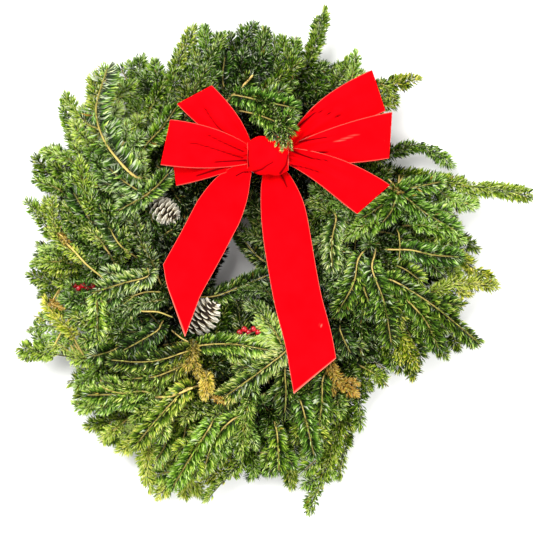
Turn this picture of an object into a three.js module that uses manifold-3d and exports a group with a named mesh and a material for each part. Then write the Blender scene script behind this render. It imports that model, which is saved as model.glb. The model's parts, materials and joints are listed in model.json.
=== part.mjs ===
// Fresh evergreen wreath with a velvet bow, lying on its back
// Millimetres, +Z out of the wreath's front, +Y towards its top as it hangs.
// While it is built the ring's middle is at x = 0, y = 0, and the surface under it is z = 0.
import * as THREE from "three";
import { mergeVertices } from "three/addons/utils/BufferGeometryUtils.js";
import Module from "manifold-3d";

const wasm = await Module();
wasm.setup();

// Driving dimensions: the wire ring
const innerHoop = 150;
const outerHoop = 176;
const hoopWire = 4;
const hoopHeight = 4.2;
const hoopSides = 32;
const clampCount = 12;
const clampWire = 3.2;
const barWidth = 6;
const barHeight = 3.2;
const barOverhang = 5;

// Driving dimensions: fir sprays
const stemRadius = 2.6;
const bareStep = 18;
const buttLength = 16;
const twigRadius = 1.9;
const twigTipRadius = 1.1;
const needleLength = 24;
const needleStep = 12.2;
const needleSweep = 42;
const needleTwist = 35;
const needleRoot = 3.1;
const budLength = 5;
const lowestTip = 1.6;
const restGap = 0.2;
const clearGap = 0.9;
const siblingGap = 0.3;

// Driving dimensions: ribbon, bow, cones and berries
const ribbonWidth = 63.5;
const ribbonThickness = 1.2;
const ribbonClearance = 3.4;
const knotMiddle = [30, 138, 118];
const knotLength = 54;
const knotRadius = 25.5;
const knotEndShare = 0.62;
const waistOffset = 21;
const waistHalfWidth = 4;
const loopRise = 9;
const loopPleat = 3.2;
const coneScaleRise = 5;
const berryRadius = 4.2;
const pickWire = 2.4;
const coneWire = 1.8;
const tieWire = 2;

const turn = Math.PI / 180;
const zAxis = new THREE.Vector3(0, 0, 1);
const vec = (x, y, z) => new THREE.Vector3(x, y, z);
const polar = (angle, reach, height) =>
  vec(reach * Math.cos(angle * turn), reach * Math.sin(angle * turn), height);
const mix = (a, b, share) => a + (b - a) * share;

// A repeatable draw between 0 and 1 for a whole number seed
function draw(seed) {
  const wave = Math.sin(seed * 12.9898 + 78.233) * 43758.5453;
  return wave - Math.floor(wave);
}

// Colours and finishes
const finish = (color, roughness, metalness = 0) =>
  new THREE.MeshStandardMaterial({ color, roughness, metalness });
const firGreen = finish("#4f7a34", 0.6);
const firLight = finish("#6c9440", 0.6);
const firGrey = finish("#6f9070", 0.65);
const velvetRed = finish("#fb0610", 0.9);
const wireGreen = finish("#2f4636", 0.45, 0.6);
const frosted = finish("#d8d2c0", 0.85);
const berryRed = finish("#b3131c", 0.3);

// Booleans: a closed geometry becomes a solid, and a solid becomes a geometry again
function toSolid(geometry) {
  const bare = geometry.clone();
  bare.deleteAttribute("normal");
  bare.deleteAttribute("uv");
  const merged = mergeVertices(bare, 1e-3);
  const mesh = new wasm.Mesh({
    numProp: 3,
    vertProperties: new Float32Array(merged.attributes.position.array),
    triVerts: new Uint32Array(merged.index.array),
  });
  return new wasm.Manifold(mesh);
}

function toGeometry(solid) {
  const mesh = solid.getMesh();
  const geometry = new THREE.BufferGeometry();
  geometry.setAttribute("position", new THREE.BufferAttribute(mesh.vertProperties, 3));
  geometry.setIndex(new THREE.BufferAttribute(mesh.triVerts, 1));
  geometry.computeVertexNormals();
  return geometry;
}

// Joins closed geometries in one body. Slivers are smoothed away, a sealed hollow is filled and a
// loose scrap is dropped.
function fuse(geometries) {
  const joined = geometries.map(toSolid).reduce((whole, next) => whole.add(next)).simplify(0.02);
  return joined.decompose().reduce((best, body) => (body.volume() > best.volume() ? body : best));
}

function geometryOf(corners, faces) {
  const geometry = new THREE.BufferGeometry();
  const places = corners.flatMap((corner) => [corner.x, corner.y, corner.z]);
  geometry.setAttribute("position", new THREE.Float32BufferAttribute(places, 3));
  geometry.setIndex(faces.flat());
  return geometry;
}

// A round wire along a path of points
function wire(points, radius, sides, steps) {
  const section = new THREE.Shape();
  for (let i = 0; i < sides; i += 1) {
    const angle = (i / sides) * 2 * Math.PI;
    const corner = [radius * Math.cos(angle), radius * Math.sin(angle)];
    if (i === 0) section.moveTo(...corner);
    else section.lineTo(...corner);
  }
  section.closePath();
  const path = new THREE.CatmullRomCurve3(points, false, "centripetal");
  return new THREE.ExtrudeGeometry(section, { steps, bevelEnabled: false, extrudePath: path });
}

const wreath = new THREE.Group();
function addPiece(name, geometry, material) {
  const mesh = new THREE.Mesh(geometry, material);
  mesh.name = name;
  wreath.add(mesh);
}

// What later pieces keep clear of: rods with a radius at each end
const rods = [];
function addRod(owner, start, end, startRadius, endRadius = startRadius, twig = "") {
  const middle = start.clone().add(end).multiplyScalar(0.5);
  const reach = start.distanceTo(end) / 2 + Math.max(startRadius, endRadius);
  rods.push({ owner, twig, start, end, startRadius, endRadius, middle, reach });
}

function addPathRods(owner, points, radius, steps = 16) {
  const path = new THREE.CatmullRomCurve3(points, false, "centripetal").getSpacedPoints(steps);
  for (let i = 0; i < steps; i += 1) addRod(owner, path[i], path[i + 1], radius);
}

// Clear distance between two tapered rods, at the closest points of their middle lines
function rodGap(p, q) {
  const u = q.end.clone().sub(q.start);
  const v = p.end.clone().sub(p.start);
  const w = q.start.clone().sub(p.start);
  const a = u.dot(u);
  const b = u.dot(v);
  const c = v.dot(v);
  const d = u.dot(w);
  const e = v.dot(w);
  const square = a * c - b * b;
  let s = square > 1e-9 ? THREE.MathUtils.clamp((b * e - c * d) / square, 0, 1) : 0;
  const t = THREE.MathUtils.clamp((b * s + e) / c, 0, 1);
  s = THREE.MathUtils.clamp((b * t - d) / a, 0, 1);
  const onQ = q.start.clone().addScaledVector(u, s);
  const onP = p.start.clone().addScaledVector(v, t);
  return onQ.distanceTo(onP) - mix(q.startRadius, q.endRadius, s) - mix(p.startRadius, p.endRadius, t);
}

// Wire ring: two hoops on flat cross bars, and a bent clamp over each bar
const clampTop = barHeight + 2 * restGap + 3.5 * stemRadius + clampWire / 2 + 0.4;
const clampAngles = Array.from({ length: clampCount }, (_, k) => (k * 360) / clampCount);

function clampPoints(angle) {
  return [
    polar(angle, innerHoop, hoopHeight),
    polar(angle, innerHoop + 1, clampTop * 0.62),
    polar(angle, innerHoop + 5.5, clampTop),
    polar(angle, outerHoop - 5.5, clampTop),
    polar(angle, outerHoop - 1, clampTop * 0.62),
    polar(angle, outerHoop, hoopHeight),
  ];
}

function clampRing() {
  const pieces = [innerHoop, outerHoop].map((radius) => {
    const hoop = new THREE.TorusGeometry(radius, hoopWire / 2, 4, hoopSides);
    return hoop.translate(0, 0, hoopHeight);
  });
  for (const angle of clampAngles) {
    const bar = new THREE.BoxGeometry(outerHoop - innerHoop + 2 * barOverhang, barWidth, barHeight);
    bar.translate((innerHoop + outerHoop) / 2, 0, barHeight / 2);
    pieces.push(bar.rotateZ(angle * turn));
    pieces.push(wire(clampPoints(angle), clampWire / 2, 4, 5));
    addPathRods("ring", clampPoints(angle), clampWire / 2);
  }
  for (let i = 0; i < 96; i += 1) {
    const from = (i * 360) / 96;
    const to = ((i + 1) * 360) / 96;
    for (const radius of [innerHoop, outerHoop]) {
      addRod("ring", polar(from, radius, hoopHeight), polar(to, radius, hoopHeight), hoopWire / 2);
    }
  }
  return fuse(pieces);
}

// Ribbon: a surface of two parameters, given a thickness along its normal
function ribbonSolid(surface, along, across) {
  const corners = [];
  const faces = [];
  const step = 1e-3;
  for (const side of [1, -1]) {
    for (let i = 0; i <= along; i += 1) {
      for (let j = 0; j <= across; j += 1) {
        const u = i / along;
        const v = -1 + (2 * j) / across;
        const du = surface(u + step, v).sub(surface(u - step, v));
        const dv = surface(u, v + step).sub(surface(u, v - step));
        const normal = du.cross(dv).normalize();
        corners.push(surface(u, v).addScaledVector(normal, (side * ribbonThickness) / 2));
      }
    }
  }
  const row = across + 1;
  const under = row * (along + 1);
  for (let i = 0; i < along; i += 1) {
    for (let j = 0; j < across; j += 1) {
      const a = i * row + j;
      faces.push([a, a + row, a + row + 1], [a, a + row + 1, a + 1]);
      faces.push([under + a, under + a + row + 1, under + a + row]);
      faces.push([under + a, under + a + 1, under + a + row + 1]);
    }
    const left = i * row;
    const right = i * row + across;
    faces.push([left, under + left, under + left + row], [left, under + left + row, left + row]);
    faces.push([right, right + row, under + right + row], [right, under + right + row, under + right]);
  }
  const last = along * row;
  for (let j = 0; j < across; j += 1) {
    faces.push([j, j + 1, under + j + 1], [j, under + j + 1, under + j]);
    faces.push([last + j, under + last + j, under + last + j + 1]);
    faces.push([last + j, under + last + j + 1, last + j + 1]);
  }
  return geometryOf(corners, faces);
}

// Half the ribbon's width where it lies flat
const flat = ribbonWidth / 2;

// Bow loops: each leaves the waist, fans out to its two outer corners, folds over and comes back.
// lower and upper are those corners as [x, y, height], and puff is the room inside the loop.
const bowLoops = [
  { side: -1, waist: -4.5, lower: [-94, 95, 103], upper: [-101, 146, 97], puff: 11 },
  { side: 1, waist: -4.5, lower: [188, 196, 101], upper: [170, 251, 112], puff: 14 },
  { side: -1, waist: 0, lower: [-93, 205, 104], upper: [-46, 230, 114], puff: 13 },
  { side: 1, waist: 0, lower: [193, 132, 108], upper: [197, 194, 128], puff: 15 },
  { side: -1, waist: 4.5, lower: [-115, 123, 125], upper: [-102, 184, 127], puff: 15 },
  { side: 1, waist: 4.5, lower: [150, 57, 117], upper: [194, 96, 130], puff: 12 },
];

function loopPoint(loop, u, v) {
  const phase = mix(0.14, 2 * Math.PI - 0.14, u);
  const out = (1 - Math.cos(phase)) / 2;
  const gap = (Math.sin(phase) * Math.sin(phase / 2) ** 2) / 1.3;
  const start = vec(knotMiddle[0] + loop.side * waistOffset, knotMiddle[1], knotMiddle[2] + loop.waist);
  start.y += v * waistHalfWidth;
  const end = vec(...loop.lower).lerp(vec(...loop.upper), (v + 1) / 2);
  const place = start.clone().lerp(end, out);
  place.y = mix(start.y, end.y, out ** 1.3);
  const pleat = loopPleat * (1 - out) ** 1.5 * Math.cos(v * 2 * Math.PI) * out ** 0.5;
  place.z += loopRise * Math.sin(Math.PI * out) * (1 - 0.5 * out) - gap * loop.puff + pleat;
  return place;
}

function bowLoopsSolid() {
  const waist = new THREE.SphereGeometry(1, 8, 6);
  waist.scale(waistOffset + 9, 8.5, 9);
  waist.translate(...knotMiddle);
  const loops = bowLoops.map((loop) => ribbonSolid((u, v) => loopPoint(loop, u, v), 12, 3));
  const tail = ribbonSolid((u, v) => tailPoint(tailLeft, tailLeftSlant, u, v), 10, 3);
  return fuse([waist, ...loops, tail]);
}

// Tails: a ribbon laid along a list of middle points, [x, y, height, half width, slant of the end]
const tailLeft = [
  [17, 138, 121, 2], [5, 135, 122, 2.5], [-6, 125, 121, 8], [-16, 101, 114, 23], [-38, 58, 104, flat],
  [-60, 16, 99, flat], [-82, -26, 100, flat], [-103, -66, 102, flat],
];
const tailRight = [
  [33, 138, 91, 12], [36, 118, 93, 14], [41, 100, 103, 21], [49, 66, 105, 29],
  [57, 14, 100, flat], [70, -58, 102, flat], [84, -112, 106, flat], [93, -162, 108, flat],
];
const tailLeftSlant = -42;
const tailRightSlant = 25;

function tailPoint(stations, slant, u, v) {
  const middle = new THREE.CatmullRomCurve3(stations.map(([x, y, z]) => vec(x, y, z)), false, "centripetal");
  const widths = new THREE.CatmullRomCurve3(stations.map((s, i) => vec(i, s[3], 0)), false, "centripetal");
  const end = 1 + (slant * v * Math.max(0, u) ** 4) / middle.getLength();
  const share = THREE.MathUtils.clamp(u * end, -0.01, 1.15);
  const inside = THREE.MathUtils.clamp(share, 0, 1);
  const place = middle.getPoint(inside);
  const along = middle.getTangent(inside);
  place.addScaledVector(along, (share - inside) * middle.getLength());
  const sideways = along.clone().cross(zAxis).normalize();
  return place.addScaledVector(sideways, v * widths.getPoint(inside).y);
}

// Knot: a crowned band wrapped round the waist, open at both ends where the loops come out
function bowKnot() {
  const profile = [];
  const half = knotLength / 2;
  const steps = 4;
  for (let i = 0; i <= steps; i += 1) {
    const x = mix(-half, half, i / steps);
    profile.push([knotRadius * (1 - (1 - knotEndShare) * (x / half) ** 2), x]);
  }
  const inner = profile.map(([radius, x]) => [radius - 1.6, x]).reverse();
  const outline = [...profile, ...inner, profile[0]].map(([radius, x]) => new THREE.Vector2(radius, x));
  const band = new THREE.LatheGeometry(outline, 12);
  band.rotateZ(Math.PI / 2);
  return band.translate(...knotMiddle);
}

// Wire that holds the bow: from hoop to hoop, over the back end of the right tail
const footHeight = hoopHeight + hoopWire / 2 + 0.5;
const knotBack = tailRight[0][2] - ribbonThickness / 2;
const bowWirePoints = [
  vec(-24, 174.4, footHeight), vec(-22, 171, 34), vec(2, 158, 72),
  vec(28, 146, knotBack - 1.6), vec(34, 138, knotBack - 1.2), vec(26, 129, knotBack - 4),
  vec(0, 136, 62), vec(-21, 143, 28), vec(-24, 148, footHeight),
];

// Frosted cones: [x, y, height], heading in degrees, length and half width
const cones = [
  { name: "1", middle: [-109, 62, 58], heading: -30, tilt: 30, length: 42, half: 15 },
  { name: "2", middle: [-57, -82, 66], heading: 56, tilt: 20, length: 50, half: 18 },
];

// Each scale is one cell of the cone's surface, raised to a point that leans towards the tip
function coneGeometry(cone) {
  const rows = 7;
  const sides = 7;
  const corners = [];
  const faces = [];
  const outline = (share) => cone.half * Math.sin(Math.PI * mix(0.1, 0.93, share)) ** 0.75;
  for (let i = 0; i <= rows; i += 1) {
    for (let j = 0; j < sides; j += 1) {
      const angle = ((j + (i % 2) / 2) / sides) * 2 * Math.PI;
      const radius = outline(i / rows);
      const along = mix(-cone.length / 2, cone.length / 2, i / rows);
      corners.push(vec(radius * Math.cos(angle), radius * Math.sin(angle), along));
    }
  }
  const bottom = corners.push(vec(0, 0, -cone.length / 2 - 2)) - 1;
  const top = corners.push(vec(0, 0, cone.length / 2 + 2)) - 1;
  for (let j = 0; j < sides; j += 1) {
    const next = (j + 1) % sides;
    faces.push([bottom, next, j]);
    faces.push([top, rows * sides + j, rows * sides + next]);
  }
  for (let i = 0; i < rows; i += 1) {
    for (let j = 0; j < sides; j += 1) {
      const next = (j + 1) % sides;
      const shift = i % 2;
      const a = i * sides + j;
      const b = i * sides + next;
      const c = (i + 1) * sides + (shift ? next : j);
      const before = (i + 1) * sides + (shift ? j : (j + sides - 1) % sides);
      const angle = ((j + 0.5 + shift / 2) / sides) * 2 * Math.PI;
      const radius = outline((i + 0.5) / rows) + coneScaleRise;
      const along = mix(-cone.length / 2, cone.length / 2, (i + 0.85) / rows);
      const peak = corners.push(vec(radius * Math.cos(angle), radius * Math.sin(angle), along)) - 1;
      faces.push([a, b, peak], [b, c, peak], [c, a, peak]);
      faces.push([a, c, before]);
    }
  }
  const geometry = geometryOf(corners, faces);
  geometry.rotateY((90 - cone.tilt) * turn);
  geometry.rotateZ(cone.heading * turn);
  return geometry.translate(...cone.middle);
}

function coneAxis(cone) {
  const level = Math.cos(cone.tilt * turn);
  return vec(level * Math.cos(cone.heading * turn), level * Math.sin(cone.heading * turn),
    Math.sin(cone.tilt * turn));
}

// Wire of a cone: from just off its butt end down to the inner hoop
function coneWirePoints(cone) {
  const butt = vec(...cone.middle).addScaledVector(coneAxis(cone), -cone.length / 2 - 2.8);
  const foot = vec(cone.middle[0], cone.middle[1], 0).setLength(innerHoop - hoopWire / 2 - 1.4);
  foot.z = hoopHeight;
  const half = butt.clone().lerp(foot, 0.5);
  half.z = butt.z * 0.45;
  return [butt, half, foot];
}

// Berry picks: a short wired stem with berries at its end
const picks = [
  { name: "1", root: [-173.3, -30.6, 6.8], end: [-222, -38, 72], berries: 5, heading: 170 },
  { name: "2", root: [-26, -147.7, 6.8], end: [4, -101, 74], berries: 5, heading: 0 },
];

function pickBerries(pick) {
  return Array.from({ length: pick.berries }, (_, i) => {
    const angle = pick.heading * turn;
    const along = (i - (pick.berries - 1) / 2) * berryRadius * 1.25;
    const off = (i % 2 ? 1 : -1) * 2.2;
    return vec(pick.end[0] + along * Math.cos(angle) - off * Math.sin(angle),
      pick.end[1] + along * Math.sin(angle) + off * Math.cos(angle), pick.end[2] + (i % 3));
  });
}

function pickSolid(pick) {
  const end = vec(...pick.end);
  const root = vec(...pick.root);
  const half = root.clone().lerp(end, 0.4).setZ(end.z * 0.72);
  const parts = [wire([root, half, end], pickWire / 2, 4, 4)];
  for (const berry of pickBerries(pick)) {
    parts.push(new THREE.SphereGeometry(berryRadius, 6, 4).translate(berry.x, berry.y, berry.z));
  }
  addPathRods(`pick ${pick.name}`, [root, half, end], pickWire / 2);
  for (const berry of pickBerries(pick)) {
    addRod(`pick ${pick.name}`, berry, berry.clone().add(vec(0.1, 0, 0)), berryRadius);
  }
  return fuse(parts);
}

// Fir sprays. slot is the place of the stem in its clamp, tip is [angle, reach, height], and
// the twigs leave the main stem by turns. via is where a stem bends on its way, if it does.
const lowSeat = barHeight + restGap + stemRadius / 2;
const highSeat = lowSeat + stemRadius + restGap + stemRadius / 2;
const slots = {
  a: [170, lowSeat],
  b: [163, lowSeat],
  c: [156, lowSeat],
  d: [163, highSeat],
  e: [170, highSeat],
};

const outerSprays = [
  { clamp: 150, slot: "a", tip: [118, 312, 26] },
  { clamp: 150, slot: "b", tip: [103, 320, 46] },
  { clamp: 120, slot: "a", tip: [88, 320, 28] },
  { clamp: 120, slot: "b", tip: [72, 352, 48] },
  { clamp: 90, slot: "a", tip: [61, 310, 26] },
  { clamp: 90, slot: "b", tip: [46, 336, 46] },
  { clamp: 60, slot: "a", tip: [25, 306, 26], via: [[203, 145, 22], [240, 155, 26]] },
  { clamp: 60, slot: "b", tip: [12, 392, 50], via: [[199, 113, 38]] },
  { clamp: 30, slot: "a", tip: [2, 318, 26] },
  { clamp: 30, slot: "b", tip: [-6, 338, 48] },
  { clamp: 0, slot: "a", tip: [-21, 338, 28] },
  { clamp: 0, slot: "b", tip: [-36, 286, 48] },
  { clamp: -30, slot: "a", tip: [-56, 280, 46] },
  { clamp: -30, slot: "b", tip: [-67, 328, 26] },
  { clamp: -30, slot: "e", tip: [-76, 358, 50] },
  { clamp: -60, slot: "a", tip: [-89, 305, 30] },
  { clamp: -60, slot: "b", tip: [-99, 336, 50] },
  { clamp: -90, slot: "a", tip: [-110, 352, 28] },
  { clamp: -90, slot: "b", tip: [-123, 318, 44] },
  { clamp: -90, slot: "c", tip: [-133, 320, 28] },
  { clamp: -120, slot: "a", tip: [-145, 300, 30] },
  { clamp: -120, slot: "b", tip: [-158, 336, 50] },
  { clamp: -150, slot: "a", tip: [-175, 298, 28] },
  { clamp: -150, slot: "b", tip: [-194, 309, 48] },
  { clamp: 180, slot: "a", tip: [155, 320, 26] },
  { clamp: 180, slot: "b", tip: [140, 326, 46] },
  { clamp: 180, slot: "c", tip: [130, 322, 64] },
];

const frontSprays = [
  { clamp: 150, slot: "d", tip: [102, 232, 72] },
  { clamp: 120, slot: "e", tip: [84, 276, 70] },
  { clamp: 120, slot: "d", tip: [75, 150, 152], via: [[-20, 190, 70], [8, 208, 112], [38, 184, 146]],
    sides: [[0.3, -1, 44], [0.55, 1, 36]] },
  { clamp: 90, slot: "d", tip: [52, 240, 68] },
  { clamp: 60, slot: "d", tip: [13, 252, 78] },
  { clamp: 30, slot: "d", tip: [-24, 228, 82] },
  { clamp: 0, slot: "d", tip: [-30, 272, 76] },
  { clamp: -30, slot: "d", tip: [-74, 250, 76] },
  { clamp: -60, slot: "d", tip: [-106, 272, 78] },
  { clamp: -90, slot: "d", tip: [-132, 262, 82] },
  { clamp: -120, slot: "d", tip: [-160, 242, 84] },
  { clamp: -150, slot: "d", tip: [-167, 252, 84] },
  { clamp: -150, slot: "e", tip: [-200, 246, 84], via: [[-178, -12, 56]] },
  { clamp: 180, slot: "d", tip: [132, 238, 84] },
];

const innerSprays = [
  { clamp: 150, slot: "c", tip: [98, 84, 44] },
  { clamp: 90, slot: "c", tip: [42, 80, 46] },
  { clamp: 60, slot: "c", tip: [9, 85, 46], sides: [[0.18, 1, 34], [0.42, -1, 28]] },
  { clamp: 30, slot: "c", tip: [-24, 84, 44] },
  { clamp: -30, slot: "c", tip: [-76, 88, 46] },
  { clamp: -60, slot: "c", tip: [-112, 89, 44] },
  { clamp: -120, slot: "c", tip: [-168, 92, 46] },
  { clamp: -150, slot: "c", tip: [-204, 96, 44] },
];

// The main stem lies in its clamp, then swings out to its tip
function stemPath(spray) {
  const [slotReach, slotHeight] = slots[spray.slot];
  const angle = spray.clamp;
  const along = polar(angle - 90, 1, 0);
  const seat = polar(angle, slotReach, slotHeight);
  const butt = seat.clone().addScaledVector(along, -buttLength);
  const upper = slotHeight > lowSeat;
  const exit = seat.clone().addScaledVector(along, 12).add(vec(0, 0, upper ? 1.6 : 0.1));
  const lift = seat.clone().addScaledVector(along, 27).add(vec(0, 0, upper ? 12 : 4.5));
  const [tipAngle, tipReach, tipHeight] = spray.tip;
  const bend = polar(mix(angle, tipAngle, 0.62), mix(slotReach, tipReach, 0.44),
    mix(slotHeight, tipHeight, 0.72));
  const middle = spray.via ? spray.via.map((point) => vec(...point)) : [bend];
  return new THREE.CatmullRomCurve3(
    [butt, seat, exit, lift, ...middle, polar(tipAngle, tipReach, tipHeight)], false, "centripetal");
}

// Directions round a path at one place: forwards, to the right of it, and up from both
function frameAt(path, share) {
  const along = path.getTangentAt(share);
  const right = along.clone().cross(zAxis).normalize();
  return { middle: path.getPointAt(share), along, right, up: right.clone().cross(along) };
}

// A ring of three corners. The first corner points up on a bare stem, and each ring with needles
// is turned a little more than the last.
function ringAt(path, share, radius, angle) {
  const { middle, along, right, up } = frameAt(path, share);
  const corners = [0, 1, 2].map((j) => {
    const heading = (angle + j * 120) * turn;
    return middle.clone().addScaledVector(right, radius * Math.cos(heading))
      .addScaledVector(up, radius * Math.sin(heading));
  });
  return { middle, along, radius, corners };
}

function mainRings(path, bare) {
  const length = path.getLength();
  const bareSteps = Math.round((length * bare) / bareStep);
  const steps = Math.round((length * (1 - bare)) / needleStep);
  const rings = [];
  for (let k = 0; k <= bareSteps; k += 1) {
    rings.push(ringAt(path, (bare * k) / bareSteps, mix(stemRadius, twigRadius, (k / bareSteps) ** 3), 90));
  }
  for (let k = 1; k <= steps; k += 1) {
    rings.push(ringAt(path, mix(bare, 1, k / steps), mix(twigRadius, twigTipRadius, k / steps),
      90 + k * needleTwist));
  }
  return { rings, bareSteps };
}

// The six cells between two rings, each with its corners as [ring offset, corner]
function cellsOf(j) {
  const next = (j + 1) % 3;
  return [[[0, j], [1, next], [0, next]], [[0, j], [1, j], [1, next]]];
}

const cornersOf = (rings, k, cell) => cell.map(([step, j]) => rings[k + step].corners[j]);
const centreOf = (points) =>
  points.reduce((sum, point) => sum.add(point), vec(0, 0, 0)).divideScalar(points.length);

// A side twig grows from the cell that faces its way, at about 45 degrees, and curves forwards
function sideTwig(main, share, side, length, lift) {
  const first = main.bareSteps + Math.floor(share * (main.rings.length - 1 - main.bareSteps));
  const k = Math.min(first, main.rings.length - 2);
  const { along } = main.rings[k];
  const right = along.clone().cross(zAxis).normalize().multiplyScalar(side);
  const choices = [0, 1, 2].flatMap((j) => cellsOf(j).map((cell, half) => ({ j, half, cell })));
  const facing = ({ cell }) => centreOf(cornersOf(main.rings, k, cell)).sub(main.rings[k].middle).dot(right);
  const branch = choices.reduce((best, next) => (facing(next) > facing(best) ? next : best));
  const base = cornersOf(main.rings, k, branch.cell);
  const root = centreOf(base);
  const half = root.clone().addScaledVector(along, length * 0.36).addScaledVector(right, length * 0.4);
  const end = root.clone().addScaledVector(along, length * 0.84).addScaledVector(right, length * 0.68);
  half.z += lift * 0.6;
  end.z += lift;
  const path = new THREE.CatmullRomCurve3([root, half, end], false, "centripetal");
  const steps = Math.max(2, Math.round(path.getLength() / needleStep));
  const { right: across, up } = frameAt(path, 1 / steps);
  const arm = base[0].clone().sub(root);
  const start = Math.atan2(arm.dot(up), arm.dot(across)) / turn;
  const rings = [{ middle: root, along: path.getTangentAt(0), radius: twigRadius,
    corners: [base[0], base[2], base[1]] }];
  for (let i = 1; i <= steps; i += 1) {
    rings.push(ringAt(path, i / steps, mix(twigRadius, twigTipRadius, i / steps),
      start + (i - 1) * needleTwist));
  }
  return { k, ...branch, rings, bareSteps: 0 };
}

// A needle grows from one cell of the twig, outwards and towards the tip. Where it would meet
// something it is swung round the twig or made shorter, and where nothing helps it is left out.
const swings = [0, 24, -24, 48, -48];
const shares = [1, 0.8, 0.6];

function growNeedle(owner, twig, ring, next, base, seed) {
  const root = centreOf(base);
  const centre = ring.middle.clone().lerp(next.middle, 0.5);
  const out = root.clone().sub(centre);
  out.addScaledVector(ring.along, -out.dot(ring.along)).normalize();
  const sweep = (needleSweep + mix(-6, 6, draw(seed))) * turn;
  for (const share of shares) {
    for (const swing of swings) {
      const lean = swing + mix(-9, 9, draw(seed + 31));
      const heading = out.clone().applyAxisAngle(ring.along, lean * turn);
      const length = needleLength * share * mix(0.88, 1.06, draw(seed + 57));
      const tip = root.clone().addScaledVector(ring.along, length * Math.cos(sweep))
        .addScaledVector(heading, length * Math.sin(sweep));
      tip.z = Math.max(tip.z, lowestTip);
      const rod = { start: root, end: tip, startRadius: needleRoot, endRadius: 0.1 };
      const middle = root.clone().add(tip).multiplyScalar(0.5);
      const reach = root.distanceTo(tip) / 2 + needleRoot;
      const blocked = rods.some((other) => {
        if (other.owner === owner && other.twig === twig) return false;
        const gap = other.owner === owner ? siblingGap : clearGap;
        return other.middle.distanceTo(middle) < other.reach + reach + gap && rodGap(rod, other) < gap;
      });
      if (!blocked) return tip;
    }
  }
  return null;
}

const bareShare = { outer: 0.28, front: 0.2, inner: 0.22 };
const sidePlans = {
  outer: [[0.14, 1, 52], [0.38, -1, 46], [0.62, 1, 32]],
  front: [[0.1, 1, 52], [0.3, -1, 44], [0.55, 1, 36]],
  inner: [[0.12, -1, 36], [0.4, 1, 26]],
};

function planSpray(spray, kind, index) {
  const name = `fir_spray_${kind}_${String(index + 1).padStart(2, "0")}`;
  const seed = index * 131 + { outer: 11, front: 5003, inner: 9001 }[kind];
  const main = mainRings(stemPath(spray), bareShare[kind]);
  const sides = (spray.sides ?? sidePlans[kind]).map(([share, side, length], i) =>
    sideTwig(main, share, side, length, mix(-4, 8, draw(seed + i * 7))));
  [main, ...sides].forEach(({ rings }, twig) => {
    for (let k = 0; k < rings.length - 1; k += 1) {
      const [from, to] = [rings[k], rings[k + 1]];
      addRod(name, from.middle, to.middle, from.radius + 0.2, to.radius + 0.2, twig);
    }
  });
  return { name, kind, seed, main, sides };
}

// Skins the rings of a twig with triangles. A cell stays flat, grows a needle or carries a side twig.
function skinTwig(skin, plan, twig, part, ringCorners, seed) {
  const { rings, bareSteps } = part;
  const indexOf = ringCorners ? [ringCorners] : [];
  rings.slice(indexOf.length).forEach((ring) => {
    indexOf.push(ring.corners.map((corner) => skin.corners.push(corner) - 1));
  });
  for (let k = 0; k < rings.length - 1; k += 1) {
    for (let j = 0; j < 3; j += 1) {
      cellsOf(j).forEach((cell, half) => {
        const face = cell.map(([step, corner]) => indexOf[k + step][corner]);
        const carries = (side) => twig === 0 && side.k === k && side.j === j && side.half === half;
        const branch = plan.sides.findIndex(carries);
        if (branch >= 0) {
          skinTwig(skin, plan, branch + 1, plan.sides[branch], [face[0], face[2], face[1]],
            seed + 900 * (branch + 1));
          return;
        }
        const grows = k >= bareSteps && ((half === 0 && j === k % 3) || (half === 1 && j === (k + 1) % 3));
        const base = cornersOf(rings, k, cell);
        const tip = grows
          ? growNeedle(plan.name, twig, rings[k], rings[k + 1], base, seed + k * 17 + j * 5) : null;
        if (!tip) {
          skin.faces.push(face);
          return;
        }
        const peak = skin.corners.push(tip) - 1;
        skin.faces.push([face[0], face[1], peak], [face[1], face[2], peak], [face[2], face[0], peak]);
        addRod(plan.name, centreOf(base), tip, needleRoot, 0.1, twig);
      });
    }
  }
  const last = rings[rings.length - 1];
  const bud = skin.corners.push(last.middle.clone().addScaledVector(last.along, budLength)) - 1;
  const end = indexOf[rings.length - 1];
  for (let j = 0; j < 3; j += 1) skin.faces.push([end[j], bud, end[(j + 1) % 3]]);
  if (!ringCorners) skin.faces.push([...indexOf[0]]);
}

function sprayGeometry(plan) {
  const skin = { corners: [], faces: [] };
  skinTwig(skin, plan, 0, plan.main, null, plan.seed);
  return geometryOf(skin.corners, skin.faces);
}

// Build: the hard pieces first, then the sprays round them
addPiece("clamp_ring", toGeometry(clampRing()), wireGreen);
addPiece("bow_loops", toGeometry(bowLoopsSolid()), velvetRed);
const leftSurface = (u, v) => tailPoint(tailLeft, tailLeftSlant, u, v);
const rightSurface = (u, v) => tailPoint(tailRight, tailRightSlant, u, v);
addPiece("bow_tail_right", ribbonSolid(rightSurface, 12, 3), velvetRed);
addPiece("bow_knot", bowKnot(), velvetRed);
addPiece("bow_tie_wire", wire(bowWirePoints, tieWire / 2, 4, 16), wireGreen);
addPathRods("bow wire", bowWirePoints, tieWire / 2, 24);

// The ribbon surfaces as short rods, so that needles stay out of them
for (const [surface, rows] of [[leftSurface, 30], [rightSurface, 34],
  ...bowLoops.map((loop) => [(u, v) => loopPoint(loop, u, v), 44])]) {
  for (let i = 0; i < rows; i += 1) {
    for (let j = 0; j < 8; j += 1) {
      const from = surface(i / rows, -1 + j / 4);
      addRod("bow", from, surface((i + 1) / rows, -1 + (j + 1) / 4), ribbonClearance);
    }
  }
}
const knotCore = vec(knotLength / 2 - 7, 0, 0);
addRod("bow", vec(...knotMiddle).sub(knotCore), vec(...knotMiddle).add(knotCore), knotRadius);

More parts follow.
